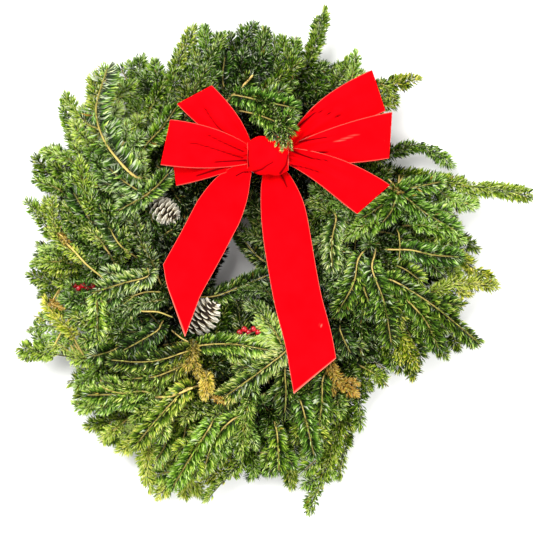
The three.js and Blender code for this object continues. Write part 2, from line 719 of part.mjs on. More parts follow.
for (const cone of cones) {
  addPiece(`frosted_cone_${cone.name}`, coneGeometry(cone), frosted);
  addPiece(`cone_wire_${cone.name}`, wire(coneWirePoints(cone), coneWire / 2, 4, 6), wireGreen);
  const axis = coneAxis(cone).multiplyScalar(cone.length / 2 - 8);
  const middle = vec(...cone.middle);
  addRod(`cone ${cone.name}`, middle.clone().sub(axis), middle.clone().add(axis), cone.half + coneScaleRise);
  addPathRods(`cone wire ${cone.name}`, coneWirePoints(cone), coneWire / 2);
}
for (const pick of picks) addPiece(`berry_pick_${pick.name}`, toGeometry(pickSolid(pick)), berryRed);

const plans = [
  ...innerSprays.map((spray, i) => planSpray(spray, "inner", i)),
  ...outerSprays.map((spray, i) => planSpray(spray, "outer", i)),
  ...frontSprays.map((spray, i) => planSpray(spray, "front", i)),
];
const sprayFinish = { outer: firLight, front: firGreen, inner: firGrey };
for (const plan of plans) addPiece(plan.name, sprayGeometry(plan), sprayFinish[plan.kind]);

// The origin is on the surface under the middle of the whole wreath
const box = new THREE.Box3().setFromObject(wreath);
wreath.position.set(-(box.min.x + box.max.x) / 2, -(box.min.y + box.max.y) / 2, 0);

export default wreath;
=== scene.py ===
import json
import math
import bpy
import numpy as np
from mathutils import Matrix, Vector

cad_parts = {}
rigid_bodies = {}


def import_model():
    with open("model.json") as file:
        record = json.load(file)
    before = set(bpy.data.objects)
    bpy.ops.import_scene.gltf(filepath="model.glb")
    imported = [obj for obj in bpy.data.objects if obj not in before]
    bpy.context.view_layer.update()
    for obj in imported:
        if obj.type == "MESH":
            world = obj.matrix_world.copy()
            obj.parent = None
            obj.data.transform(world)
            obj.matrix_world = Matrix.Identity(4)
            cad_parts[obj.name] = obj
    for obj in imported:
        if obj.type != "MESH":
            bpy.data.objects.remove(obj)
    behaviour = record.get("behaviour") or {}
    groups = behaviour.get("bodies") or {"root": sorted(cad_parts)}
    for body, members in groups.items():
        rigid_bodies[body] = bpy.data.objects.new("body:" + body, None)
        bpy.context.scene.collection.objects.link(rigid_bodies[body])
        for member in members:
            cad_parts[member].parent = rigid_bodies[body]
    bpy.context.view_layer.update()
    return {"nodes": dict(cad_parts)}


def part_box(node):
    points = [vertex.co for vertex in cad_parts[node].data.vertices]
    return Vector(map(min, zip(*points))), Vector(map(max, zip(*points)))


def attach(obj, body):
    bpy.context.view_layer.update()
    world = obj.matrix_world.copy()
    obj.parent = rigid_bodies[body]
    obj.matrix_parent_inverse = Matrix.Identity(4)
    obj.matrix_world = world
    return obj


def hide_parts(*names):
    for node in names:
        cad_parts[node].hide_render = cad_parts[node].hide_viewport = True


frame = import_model()
print("stage 1: frame loaded,", len(frame["nodes"]), "nodes")

# All shapes below are in millimetres with the ring's middle at x = y = 0, +Y towards the wreath's top.
ringLow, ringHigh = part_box("clamp_ring")
ringMiddle = np.array([(ringLow[0] + ringHigh[0]) / 2, (ringLow[1] + ringHigh[1]) / 2, 0.0])

# The photograph is 533 px square; the ring's middle is at this pixel, and a pixel is this many mm
view = {
    "frame": 533,
    "ringPixel": (246.0, 256.0),
    "pixelMm": 1.35,
    "distance": 2.3,        # camera to the wreath's front, m
    "planeHeight": 0.075,   # height at which a pixel has its size, m
}


def toMetres(points):
    # metres in the frame = mm / 1000 + the ring's middle
    return np.asarray(points, float) / 1000.0 + ringMiddle


def fromPixels(pixels):
    # x to the right and y up in mm, from columns and rows of the photograph
    p = np.asarray(pixels, float)
    left, top = view["ringPixel"]
    return np.stack([(p[..., 0] - left) * view["pixelMm"], (top - p[..., 1]) * view["pixelMm"]], -1)


def asSeen(points):
    # where the camera sees a point, in mm of the picture plane: its distance from the camera's axis
    # times distance / (distance + plane height - its own height)
    p = np.asarray(points, float)
    axis = fromPixels((view["frame"] / 2, view["frame"] / 2))
    reach = 1000 * view["distance"]
    return axis + (p[..., :2] - axis) * reach / (reach + 1000 * view["planeHeight"] - p[..., 2:3])


def standAt(flat, heights):
    # the reverse: where a point that is seen at a place of the picture plane stands at its height
    flat, heights = np.asarray(flat, float), np.asarray(heights, float)[..., None]
    axis = fromPixels((view["frame"] / 2, view["frame"] / 2))
    reach = 1000 * view["distance"]
    place = axis + (flat - axis) * (reach + 1000 * view["planeHeight"] - heights) / reach
    return np.concatenate([place, heights], -1)


def linearColour(code):
    # sRGB hex to linear: ((c + 0.055) / 1.055) ** 2.4, and c / 12.92 below 0.04045
    c = np.array([int(code[i:i + 2], 16) for i in (1, 3, 5)]) / 255.0
    return (*np.where(c <= 0.04045, c / 12.92, ((c + 0.055) / 1.055) ** 2.4), 1.0)


def addNode(tree, kind, settings=None, links=None):
    # one node with its settings (attributes or sockets) and the sockets that feed it
    node = tree.nodes.new(kind)
    for key, value in (settings or {}).items():
        if isinstance(key, str) and hasattr(node, key):
            setattr(node, key, value)
        else:
            node.inputs[key].default_value = value
    for key, socket in (links or {}).items():
        tree.links.new(socket, node.inputs[key])
    return node


def newMaterial(name, settings):
    # a Principled material with these inputs, its node tree and its shader
    material = bpy.data.materials.new(name)
    material.use_nodes = True
    tree = material.node_tree
    shader = tree.nodes["Principled BSDF"]
    for key, value in settings.items():
        shader.inputs[key].default_value = value
    return material, tree, shader


def colourRamp(tree, share, stops):
    # the colour at a share of the way along the stops: [(place, hex colour), ...]
    node = addNode(tree, "ShaderNodeValToRGB", None, {"Fac": share})
    ramp = node.color_ramp
    while len(ramp.elements) < len(stops):
        ramp.elements.new(0.5)
    for element, (place, code) in zip(ramp.elements, stops):
        element.position = place
        element.color = linearColour(code)
    return node.outputs["Color"]


def attribute(tree, name):
    # the value that the mesh carries at each of its points
    return addNode(tree, "ShaderNodeAttribute", {"attribute_name": name}).outputs["Fac"]


def noise(tree, sizeMm, detail):
    # soft patches of about this size, fixed to the object
    places = addNode(tree, "ShaderNodeTexCoord")
    node = addNode(tree, "ShaderNodeTexNoise", {"Scale": 1000 / sizeMm, "Detail": detail},
                   {"Vector": places.outputs["Object"]})
    return node.outputs["Fac"]


def scaled(tree, value, factor, offset, clamp=True):
    # value times factor plus offset, cut off at 0 and 1 where clamp is true
    settings = {"operation": "MULTIPLY_ADD", "use_clamp": clamp, 1: factor, 2: offset}
    return addNode(tree, "ShaderNodeMath", settings, {0: value}).outputs[0]


def summed(tree, first, second):
    # first plus second, cut off at 0 and 1
    settings = {"operation": "ADD", "use_clamp": True}
    return addNode(tree, "ShaderNodeMath", settings, {0: first, 1: second}).outputs[0]


def overlay(tree, under, code, share):
    # under + (colour - under) times share
    node = addNode(tree, "ShaderNodeMix", {"data_type": "RGBA", 7: linearColour(code)},
                   {0: share, 6: under})
    return node.outputs[2]


def addBump(tree, shader, height, strength, depthMm):
    # raises the surface by strength times depth where the height is 1
    bump = addNode(tree, "ShaderNodeBump", {"Strength": strength, "Distance": depthMm / 1000},
                   {"Height": height})
    tree.links.new(bump.outputs["Normal"], shader.inputs["Normal"])


# Materials

def firNeedle(name, stops, paleColour, dryColour):
    # fresh noble fir needles: waxy, a soft gloss along each needle; tone, which also carries painted light
    # and shade, runs from the dark ones deep inside to the yellow-green tips, and the undersides carry pale
    # bands of wax
    material, tree, shader = newMaterial(name, {"Roughness": 0.5, "IOR": 1.45,
                                                "Specular IOR Level": 0.2})
    # patches of about 40 mm where the foliage is a little lighter or darker
    shift = scaled(tree, noise(tree, 40, 2.0), 0.30, -0.15, False)
    tone = summed(tree, attribute(tree, "needleTone"), shift)
    green = colourRamp(tree, tone, stops)
    # sun-bleached twigs turn olive: the same green with more red and less blue in it
    olive = addNode(tree, "ShaderNodeMix", {"data_type": "RGBA", "blend_type": "MULTIPLY",
                                            7: (1.45, 0.98, 0.5, 1.0)},
                    {0: attribute(tree, "needleOlive"), 6: green})
    waxed = overlay(tree, olive.outputs[2], paleColour, attribute(tree, "needlePale"))
    # dead needles keep their light and shade: from dark bark brown to straw
    brown = addNode(tree, "ShaderNodeMix", {"data_type": "RGBA", 6: linearColour("#1c1003"),
                                            7: linearColour(dryColour)}, {0: tone})
    dried = addNode(tree, "ShaderNodeMix", {"data_type": "RGBA"},
                    {0: attribute(tree, "needleDry"), 6: waxed, 7: brown.outputs[2]})
    tree.links.new(dried.outputs[2], shader.inputs["Base Color"])
    return material


def firBark():
    # young fir bark: yellow-green to tan, dull, finely ridged across every 2 mm or so
    material, tree, shader = newMaterial("firBark", {"Roughness": 0.75})
    bark = colourRamp(tree, attribute(tree, "barkAge"),
                      [(0.0, "#3a4018"), (0.25, "#9a8d3e"), (0.5, "#e6c973"), (1.0, "#b08a45")])
    grain = noise(tree, 2.2, 3.0)
    flecked = overlay(tree, bark, "#5f4a2c", scaled(tree, grain, 1.6, -0.78))
    tree.links.new(flecked, shader.inputs["Base Color"])
    addBump(tree, shader, grain, 0.5, 0.6)
    return material


def ribbonVelvet():
    # flocked polyester velvet: even deep red with almost no gloss, a short pile that lightens at a
    # slant, and a pale woven backing that shows as a thread along the cut edges
    material, tree, shader = newMaterial("ribbonVelvet", {
        "Roughness": 0.95, "Specular IOR Level": 0.02, "Sheen Weight": 0.02, "Sheen Roughness": 0.5,
        "Sheen Tint": linearColour("#ff5a50")})
    pile = noise(tree, 1.2, 3.0)
    brushed = colourRamp(tree, noise(tree, 30, 2.0), [(0.3, "#de0007"), (0.7, "#e8020b")])
    flecked = overlay(tree, brushed, "#c8020a", scaled(tree, pile, 0.5, -0.18))
    # the backing shows on the outermost fiftieth of the half width
    edge = addNode(tree, "ShaderNodeMapRange", {1: 0.978, 2: 0.992, 3: 0.0, 4: 0.45},
                   {0: attribute(tree, "ribbonAcross")})
    edged = overlay(tree, flecked, "#f08a78", edge.outputs[0])
    threads = overlay(tree, edged, "#eda58c", attribute(tree, "ribbonFray"))
    # painted shade: the velvet is darkened to near black along the fold grooves, where shade falls in them
    paintedFoldShade = scaled(tree, attribute(tree, "ribbonFold"), 0.95, 0.0)
    tree.links.new(overlay(tree, threads, "#330004", paintedFoldShade), shader.inputs["Base Color"])
    addBump(tree, shader, pile, 0.25, 0.4)
    return material


def frostedCone():
    # dry cone scales dipped in white flock: brown in the depths, chalky white on the rims
    material, tree, shader = newMaterial("frostedConeScale", {"Roughness": 0.85})
    flakes = noise(tree, 2.5, 3.0)
    share = summed(tree, attribute(tree, "scaleFrost"), scaled(tree, flakes, 0.5, -0.25, False))
    frosted = colourRamp(tree, share, [(0.12, "#2c2013"), (0.28, "#8a7344"), (0.4, "#e9dfc2"),
                                       (0.75, "#fdf8e6")])
    tree.links.new(frosted, shader.inputs["Base Color"])
    addBump(tree, shader, flakes, 0.6, 0.8)
    return material


def berrySkin():
    # glossy red berries with darker patches of about 6 mm
    material, tree, shader = newMaterial("berrySkin", {"Roughness": 0.22, "IOR": 1.45,
                                                       "Coat Weight": 0.3})
    skin = colourRamp(tree, noise(tree, 6, 2.0), [(0.35, "#7d0a12"), (0.6, "#c4141f")])
    tree.links.new(skin, shader.inputs["Base Color"])
    return material


def greenWire():
    # green enamelled florist's wire and hoop: a thin even coat with a dull gloss and small scuffs
    material, tree, shader = newMaterial("greenEnamelWire", {"Roughness": 0.4, "Coat Weight": 0.25})
    enamel = colourRamp(tree, noise(tree, 8, 4.0),
                        [(0.35, "#22382a"), (0.62, "#2f4c38"), (0.8, "#5d6e62")])
    tree.links.new(enamel, shader.inputs["Base Color"])
    return material


firMaterials = {
    "outer": firNeedle("nobleFirTips", [(0.0, "#040801"), (0.3, "#203e05"), (0.6, "#608c1c"),
                                        (0.85, "#aacd52"), (1.0, "#d8ec9c")], "#d4deb4", "#c8923a"),
    "front": firNeedle("nobleFirFace", [(0.0, "#030601"), (0.3, "#1a3206"), (0.6, "#4e7a1e"),
                                        (0.85, "#a2c65a"), (1.0, "#d6eaa6")], "#d0dab8", "#c8923a"),
    "inner": firNeedle("nobleFirInner", [(0.0, "#020401"), (0.35, "#142606"), (0.65, "#3e621c"),
                                         (0.85, "#8eac52"), (1.0, "#cddba0")], "#c6d2b0", "#b0822f"),
}
barkMaterial = firBark()
velvetMaterial = ribbonVelvet()
coneMaterial = frostedCone()
berryMaterial = berrySkin()
wireMaterial = greenWire()
print("stage 2: materials made")


# Mesh helpers

def addPiece(name, points, triangles, materials, values=None, materialIndex=None, smooth=True):
    # one closed mesh from arrays: points (n, 3) in mm, triangles (m, 3), values {attribute: (n,)}
    mesh = bpy.data.meshes.new(name)
    points = toMetres(points).astype(np.float32)
    triangles = np.asarray(triangles, np.int32)
    mesh.vertices.add(len(points))
    mesh.vertices.foreach_set("co", points.ravel())
    mesh.loops.add(triangles.size)
    mesh.loops.foreach_set("vertex_index", triangles.ravel())
    mesh.polygons.add(len(triangles))
    mesh.polygons.foreach_set("loop_start", np.arange(0, triangles.size, 3, dtype=np.int32))
    mesh.polygons.foreach_set("use_smooth", np.broadcast_to(smooth, len(triangles)).copy())
    for material in materials:
        mesh.materials.append(material)
    if materialIndex is not None:
        mesh.polygons.foreach_set("material_index", np.asarray(materialIndex, np.int32))
    for key, value in (values or {}).items():
        layer = mesh.attributes.new(key, "FLOAT", "POINT")
        layer.data.foreach_set("value", np.asarray(value, np.float32))
    mesh.update()
    piece = bpy.data.objects.new(name, mesh)
    bpy.context.scene.collection.objects.link(piece)
    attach(piece, "root")
    return piece


def joinParts(parts):
    # parts: [(points, triangles, {attribute: values}, material number), ...] joined end to end
    starts = np.cumsum([0] + [len(p[0]) for p in parts[:-1]])
    points = np.concatenate([p[0] for p in parts])
    triangles = np.concatenate([p[1] + s for p, s in zip(parts, starts)])
    keys = sorted({key for p in parts for key in p[2]})
    values = {key: np.concatenate([np.broadcast_to(p[2].get(key, 0.0), len(p[0])) for p in parts])
              for key in keys}
    index = np.concatenate([np.full(len(p[1]), p[3]) for p in parts])
    return points, triangles, values, index


def unit(v):
    # each vector divided by its length
    return v / np.maximum(np.linalg.norm(v, axis=-1, keepdims=True), 1e-9)


def curveThrough(points, spacing):
    # centripetal Catmull-Rom spline: each stretch is the cubic through its two ends whose end slopes
    # come from the neighbours, with steps of length ** 0.5; then even steps of arc length
    p = np.asarray(points, float)
    p = np.concatenate([[2 * p[0] - p[1]], p, [2 * p[-1] - p[-2]]])
    gaps = np.maximum(np.linalg.norm(np.diff(p, axis=0), axis=1) ** 0.5, 1e-4)[:, None]
    d0, d1, d2 = gaps[:-2], gaps[1:-1], gaps[2:]
    a, b, c, d = p[:-3], p[1:-2], p[2:-1], p[3:]
    slopeB = ((b - a) / d0 - (c - a) / (d0 + d1) + (c - b) / d1) * d1
    slopeC = ((c - b) / d1 - (d - b) / (d1 + d2) + (d - c) / d2) * d1
    t = np.linspace(0, 1, 33)[None, :-1, None]
    b, c, slopeB, slopeC = b[:, None], c[:, None], slopeB[:, None], slopeC[:, None]
    fine = (b + slopeB * t + (-3 * b + 3 * c - 2 * slopeB - slopeC) * t ** 2
            + (2 * b - 2 * c + slopeB + slopeC) * t ** 3).reshape(-1, p.shape[1])
    fine = np.concatenate([fine, p[-2:-1]])
    run = np.concatenate([[0], np.cumsum(np.linalg.norm(np.diff(fine, axis=0), axis=1))])
    count = max(4, int(round(run[-1] / spacing)) + 1)
    places = np.linspace(0, run[-1], count)
    return np.stack([np.interp(places, run, fine[:, k]) for k in range(p.shape[1])], -1)


def directions(path):
    # forwards along the path, to the right of it (forwards x Z) and up from both
    forwards = unit(np.gradient(path, axis=0))
    right = unit(np.cross(forwards, [0.0, 0.0, 1.0]))
    return forwards, right, np.cross(right, forwards)


def tubeAlong(path, radii, sides, values, materialNumber):
    # place = path + radius (cos angle right + sin angle up), closed by a point at each end
    forwards, right, up = directions(path)
    angle = np.arange(sides) / sides * 2 * np.pi
    ring = np.cos(angle)[None, :, None] * right[:, None] + np.sin(angle)[None, :, None] * up[:, None]
    points = (path[:, None] + ring * np.asarray(radii)[:, None, None]).reshape(-1, 3)
    n = len(path)
    i, j = np.meshgrid(np.arange(n - 1), np.arange(sides), indexing="ij")
    a = i * sides + j
    b = i * sides + (j + 1) % sides
    quads = np.stack([a, b, b + sides, a, b + sides, a + sides], -1).reshape(-1, 3)
    first, last = n * sides, n * sides + 1
    ringEnd = np.arange(sides)
    after = (ringEnd + 1) % sides
    capA = np.stack([np.full(sides, first), after, ringEnd], -1)
    capB = np.stack([np.full(sides, last), (n - 1) * sides + ringEnd, (n - 1) * sides + after], -1)
    ends = np.stack([path[0] - forwards[0] * radii[0] * 0.4, path[-1] + forwards[-1] * radii[-1] * 2.2])
    points = np.concatenate([points, ends])
    spread = {key: np.concatenate([np.repeat(np.broadcast_to(value, n), sides), [0, 0]])
              for key, value in values.items()}
    return points, np.concatenate([quads, capA, capB]), spread, materialNumber


# Fir: the same stems as the solids, with all their needles

stem = {
    "slotReach": {"a": 170, "b": 163, "c": 156, "d": 163, "e": 170},
    # in its clamp: height, and how much higher the stem is at the two points after it, in mm
    "lowSeat": (4.7, 0.1, 4.5), "highSeat": (8.8, 1.6, 12), "near": 12, "clear": 27,
    # the bend of a stem that has no points of its own: shares of the way from clamp to tip, of the
    # angle, of the distance from the middle and of the height
    "bend": (0.62, 0.44, 0.72),
    "buttLength": 16.0, "stemRadius": 2.6, "twigRadius": 1.3, "tipRadius": 0.8,
    "bareShare": {"outer": 0.28, "front": 0.2, "inner": 0.22},
    "needlesBefore": 4, "step": 5.5,
    # size of the needles on the sprays that are slimmer than the rest
    "slim": {"outer_07": 0.92, "front_03": 0.65},
    "seed": {"outer": 1000, "front": 2000, "inner": 3000},
    "tone": {"outer": 0.62, "front": 0.45, "inner": 0.34},
}

# Needles in three habits. A brush is a twig seen from above, its needles swept forwards all round; a comb
# is one seen from below, its needles in two ranks that leave the tan twig bare between them; a fringe is a
# comb that has kept only the rank on its right. One needle in so many (clearOnes) stands clear of the rest,
# evenly spaced, and is painted lighter, a painted highlight where it would catch the light; the others have
# their tone lowered by a painted shade. Lengths and widths are in mm, stem is the radius of a sprig's own
# twig, and calm says how far the clear needles and the others stray from their places, 1 being the most.
habits = {
    "brush": {"perMm": 12.5, "length": 14.5, "rootAngle": 82.0, "tipAngle": 64.0, "halfWidth": 0.45,
              "pale": 0.10, "rise": 0.10, "clearOnes": 7, "paintedShade": -0.06, "calm": (0.8, 1.0),
              "stem": 1.35},
    "comb": {"perMm": 10.0, "length": 16.5, "rootAngle": 80.0, "tipAngle": 52.0, "halfWidth": 0.45,
             "pale": 0.16, "rise": 0.04, "clearOnes": 10, "paintedShade": -0.09, "calm": (0.2, 0.8),
             "stem": 1.35},
    "fringe": {"perMm": 5.0, "length": 23.0, "rootAngle": 90.0, "tipAngle": 66.0, "halfWidth": 0.55,
               "pale": 0.35, "rise": 0.02, "clearOnes": 13, "paintedShade": -0.32, "calm": (0.12, 0.4),
               "stem": 2.7},
}
# degrees from one needle of a brush, or from one scale of a cone, to the next
goldenAngle = 137.5
# What the needles of all habits share. A pair of values for the clear needles and for the others is
# named after what it multiplies, and the four points are the foot, the two side corners and the tip.
needle = {
    # round the twig, in degrees: how far they stray on a brush and in a rank, the arc under a brush
    # and the share of its needles that turns up, the arc of the clear ones, and the share of a rank
    # that stands up
    "brushStray": 12, "rankStray": 32, "underArc": (205, 335), "turnedUp": 0.75,
    "clearFrom": 5, "clearArc": 170, "standing": 0.12,
    # angle to the twig: how far it strays at root and tip, in degrees, the share that is left of it
    # at the bud, and how far the tip sways
    "rootStray": 12, "tipStray": 15, "budAngle": 0.12, "sway": 0.12,
    # length: least and most, the share that is left of it at the bud and where the needles start,
    # and over how many mm
    "lengths": (0.8, 1.08), "sizeTimes": (0.88, 1.1), "budSize": 0.72, "footSize": 0.75,
    "budReach": 10.0, "footReach": 14.0,
    # section: least and most width, how far it is turned, and the height of its ridge, mm
    "widths": (0.8, 1.15), "widthTimes": (0.92, 1.15), "turn": 0.25, "ridge": 0.35,
    # the foot's distance from the middle of the twig, mm; where the needle bends, as a share of its
    # length; how far a clear one is raised there and at its tip, and how low both may be, mm
    "footOff": 0.5, "knee": 0.58, "kneeLift": 1.2, "tipLift": 1.6, "lowestKnee": 1.5, "lowestTip": 1.2,
    # tone: of the four points (painted shade at the foot, where the needles crowd the twig, and a lighter
    # tip), its spread, of the clear ones (a painted highlight), and more of it on top of a brush (painted
    # light)
    "tones": (-0.6, -0.02, -0.02, 0.24), "toneSpread": 0.19, "paintedClearHighlight": 0.72, "topLight": 0.1,
    # olive: middle and spread for a whole twig, and spread for its needles
    "oliveTwig": (0.22, 0.22), "oliveSpread": 0.12,
    # frosty pale ones: of the four points, least and most, and how much more often they are clear
    "pales": (0.2, 1.0, 1.0, 0.8), "paleness": (0.3, 0.9), "paleTimes": (3.0, 0.25),
    # dry ones: least and most times a sprig's dryness, and the share that is dead on any twig
    "dryness": (0.5, 1.5), "deadOnes": 0.006, "deadness": 0.7,
}

outerSprays = [
    (150, "a", (118, 312, 26)), (150, "b", (103, 320, 46)), (120, "a", (88, 320, 28)),
    (120, "b", (72.6, 352, 48), [(66, 240, 34), (92, 282, 42)]),
    (90, "a", (61, 310, 26)), (90, "b", (46, 336, 46)),
    (60, "a", (24.2, 310, 26), [(203, 144, 26), (238, 153, 29)]),
    (60, "b", (12, 398, 50), [(199, 113, 38)]),
    (30, "a", (2, 318, 26)), (30, "b", (-6, 338, 48)), (0, "a", (-21, 338, 28)),
    (0, "b", (-36, 286, 48)), (-30, "a", (-56, 280, 46)), (-30, "b", (-67, 328, 26)),
    (-30, "e", (-76, 358, 50)), (-60, "a", (-89, 305, 30)), (-60, "b", (-99, 336, 50)),
    (-90, "a", (-110, 352, 28)), (-90, "b", (-123, 318, 44)), (-90, "c", (-133, 320, 28)),
    (-120, "a", (-145, 300, 30)), (-120, "b", (-158, 336, 50)), (-150, "a", (-175, 298, 28)),
    (-150, "b", (-194, 309, 48)), (180, "a", (155, 320, 26)), (180, "b", (140, 326, 46)),
    (180, "c", (130, 322, 64)),
]
frontSprays = [
    (150, "d", (102, 232, 72)), (120, "e", (84, 276, 70)),
    (120, "d", (70.6, 152, 150), [(-20, 190, 70), (8, 208, 112), (42, 184, 146)],
     [(0.05, 1, 46), (0.12, -1, 46), (0.3, -1, 44)]),
    (90, "d", (52, 240, 68)), (60, "d", (13, 252, 78)), (30, "d", (-24, 228, 82)),
    (0, "d", (-30, 272, 76)), (-30, "d", (-74, 250, 76)), (-60, "d", (-106, 272, 78)),
    (-90, "d", (-132, 262, 82)), (-120, "d", (-160, 242, 84)), (-150, "d", (-167, 252, 84)),
    (-150, "e", (-200, 246, 84), [(-178, -12, 56)]), (180, "d", (132, 238, 84)),
]
innerSprays = [
    (150, "c", (98, 84, 44)), (90, "c", (42, 80, 46)), (60, "c", (9, 85, 46)),
    (30, "c", (-24, 84, 44)), (-30, "c", (-76, 88, 46)), (-60, "c", (-112, 89, 44)),
    (-120, "c", (-168, 92, 46)), (-150, "c", (-204, 96, 44)),
]

# Side twigs: share of the way along the needled part, side (1 is towards the hole), length in mm
sideTwigs = {
    "outer": [(0.0, -1, 50), (0.06, 1, 56), (0.14, 1, 52), (0.22, -1, 52), (0.28, 1, 54), (0.38, -1, 50),
              (0.46, 1, 50), (0.54, -1, 46), (0.62, 1, 42), (0.7, -1, 40), (0.77, 1, 34), (0.85, -1, 28)],
    "front": [(0.02, -1, 50), (0.1, 1, 54), (0.2, -1, 50), (0.3, -1, 46), (0.38, 1, 50), (0.5, -1, 46),
              (0.58, 1, 42), (0.7, -1, 36), (0.8, 1, 28)],
    "inner": [(0.0, -1, 46), (0.06, 1, 46), (0.14, -1, 46), (0.24, 1, 44), (0.36, -1, 40), (0.5, 1, 36),
              (0.66, -1, 30)],
}
branching = {
    "toneSpread": 0.06, "twigTone": (0.03, 0.07),       # middle and spread of a side twig's own tone
    "lengths": (0.9, 1.12), "lifts": (-6, 10),          # of side twigs: times, and mm at the end
    "combEvery": 3, "combShare": 0.2,                   # front sprays and side twigs that are combs
    "twigNeedles": 0.95,                                # their size against those of the stem
    # age of the bark, and sides of the section: the twig of a comb shows, so it is older and rounder
    "stemAge": {"comb": 0.5, "brush": 0.15}, "twigBark": {"comb": (0.45, 5), "brush": (0.05, 3)},
}


# Outline of the foliage in the photograph, in pixels from the top left round clockwise, the gap that
# stays open under the arching twig on the right, and the open part of the middle. Side twigs stop
# short of all three.
foliage = {
    "outline": [
        (188, 26), (205, 22), (224, 31), (246, 18), (266, 24), (280, 33), (305, 42), (311, 25),
        (327, 3), (335, 14), (329, 35), (318, 59), (344, 63), (355, 50), (364, 67), (380, 77),
        (400, 72), (417, 70), (424, 77), (413, 85), (396, 106), (388, 150), (408, 142), (434, 148),
        (451, 157), (455, 167), (469, 183), (533, 183), (533, 203), (485, 202), (471, 219), (459, 213),
        (469, 233), (480, 249), (476, 258), (461, 270), (498, 272), (498, 294), (466, 300), (456, 317),
        (483, 343), (469, 351), (438, 362), (417, 352), (423, 365), (411, 382), (389, 373), (380, 391),
        (363, 400), (352, 404), (363, 413), (363, 428), (346, 451), (344, 467), (337, 483), (323, 481),
        (310, 520), (300, 507), (300, 488), (290, 491), (279, 476), (265, 479), (247, 481), (231, 476),
        (213, 487), (206, 502), (198, 504), (174, 495), (155, 502), (139, 474), (132, 457), (108, 448),
        (92, 432), (84, 431), (68, 389), (75, 376), (73, 362), (64, 351), (54, 351), (42, 365),
        (23, 364), (15, 354), (33, 325), (42, 310), (27, 276), (28, 269), (33, 255), (41, 227),
        (35, 220), (24, 201), (29, 195), (46, 195), (27, 177), (30, 158), (38, 148), (58, 140),
        (65, 133), (60, 120), (59, 103), (65, 91), (81, 103), (82, 84), (83, 78), (103, 65),
        (123, 56), (151, 54), (172, 53), (180, 36)],
    "gap": [(396, 155), (408, 152), (436, 156), (440, 168), (420, 171), (398, 170)],
    "hole": [(214, 262), (222, 240), (242, 236), (262, 246), (262, 282), (240, 290), (216, 290)],
    "margin": 7.5,          # how far inside the outline a twig ends, mm; its needles reach the rest
    "overhang": 4.5,        # how far outside the outline the tip of a needle may be, mm,
    "ragged": (0.2, 1.6),   # times a value between these two
    "shortest": 14.0,       # a twig shorter than this is left out, mm
    "topHeight": 82.0,      # height of the face of the wreath, mm
    "shoulder": 190.0,      # distance from the middle where the face starts to fall off, mm
    "fall": 0.36,           # how fast it falls towards the edge
    # painted shade: the needles below the face are painted darker by this
    "paintedDeepShade": 0.010,     # loss of tone for each mm below that face
}


def insidePolygon(points, polygon):
    # even-odd rule: a point is inside when a ray from it to the right crosses the edges an odd number
    # of times; the second value is the distance to the nearest edge, both as the camera sees them
    points = asSeen(points)
    a = fromPixels(polygon)
    b = np.roll(a, -1, axis=0)
    x, y = points[:, None, 0], points[:, None, 1]
    dy = np.where(b[:, 1] == a[:, 1], 1e-9, b[:, 1] - a[:, 1])
    crosses = ((a[:, 1] > y) != (b[:, 1] > y)) & (x < a[:, 0] + (y - a[:, 1]) / dy * (b[:, 0] - a[:, 0]))
    edge = b - a
    share = ((x - a[:, 0]) * edge[:, 0] + (y - a[:, 1]) * edge[:, 1]) / np.maximum((edge ** 2).sum(1), 1e-9)
    share = np.clip(share, 0, 1)
    apart = np.hypot(x - a[:, 0] - share * edge[:, 0], y - a[:, 1] - share * edge[:, 1]).min(1)
    return crosses.sum(1) % 2 == 1, apart


def trimTwig(path):
    # the stretch of a twig up to where it would leave the outline or enter the gap or the hole
    inside, apart = insidePolygon(path, foliage["outline"])
    good = inside & (apart > foliage["margin"])
    for name in ("gap", "hole"):
        within, near = insidePolygon(path, foliage[name])
        good &= ~within & (near > foliage["margin"])
    start = int(np.argmax(good)) if good.any() else 0
    after = np.nonzero(~good[start:])[0]
    end = start + int(after[0]) if len(after) else len(path)
    if start > 2 or (end - 1) * stem["step"] < foliage["shortest"]:
        return None
    return path[:end]


# Where a cone or a cluster of berries shows: middle in pixels, half width and half height in pixels,
# height in mm above which no needle crosses it
clearings = [((83, 287), (13, 5), 66), ((248, 331), (15, 6), 68), ((166, 211), (9, 12), 60),
             ((202, 317), (13, 15), 64)]


def inClearing(points):
    # inside any of the ellipses and above its height
    hidden = np.zeros(len(points), bool)
    seen = asSeen(points)
    for middle, half, height in clearings:
        x, y = fromPixels(middle)
        across = (seen[:, 0] - x) / (half[0] * view["pixelMm"])
        upward = (seen[:, 1] - y) / (half[1] * view["pixelMm"])
        hidden |= (across ** 2 + upward ** 2 < 1) & (points[:, 2] > height)
    return hidden


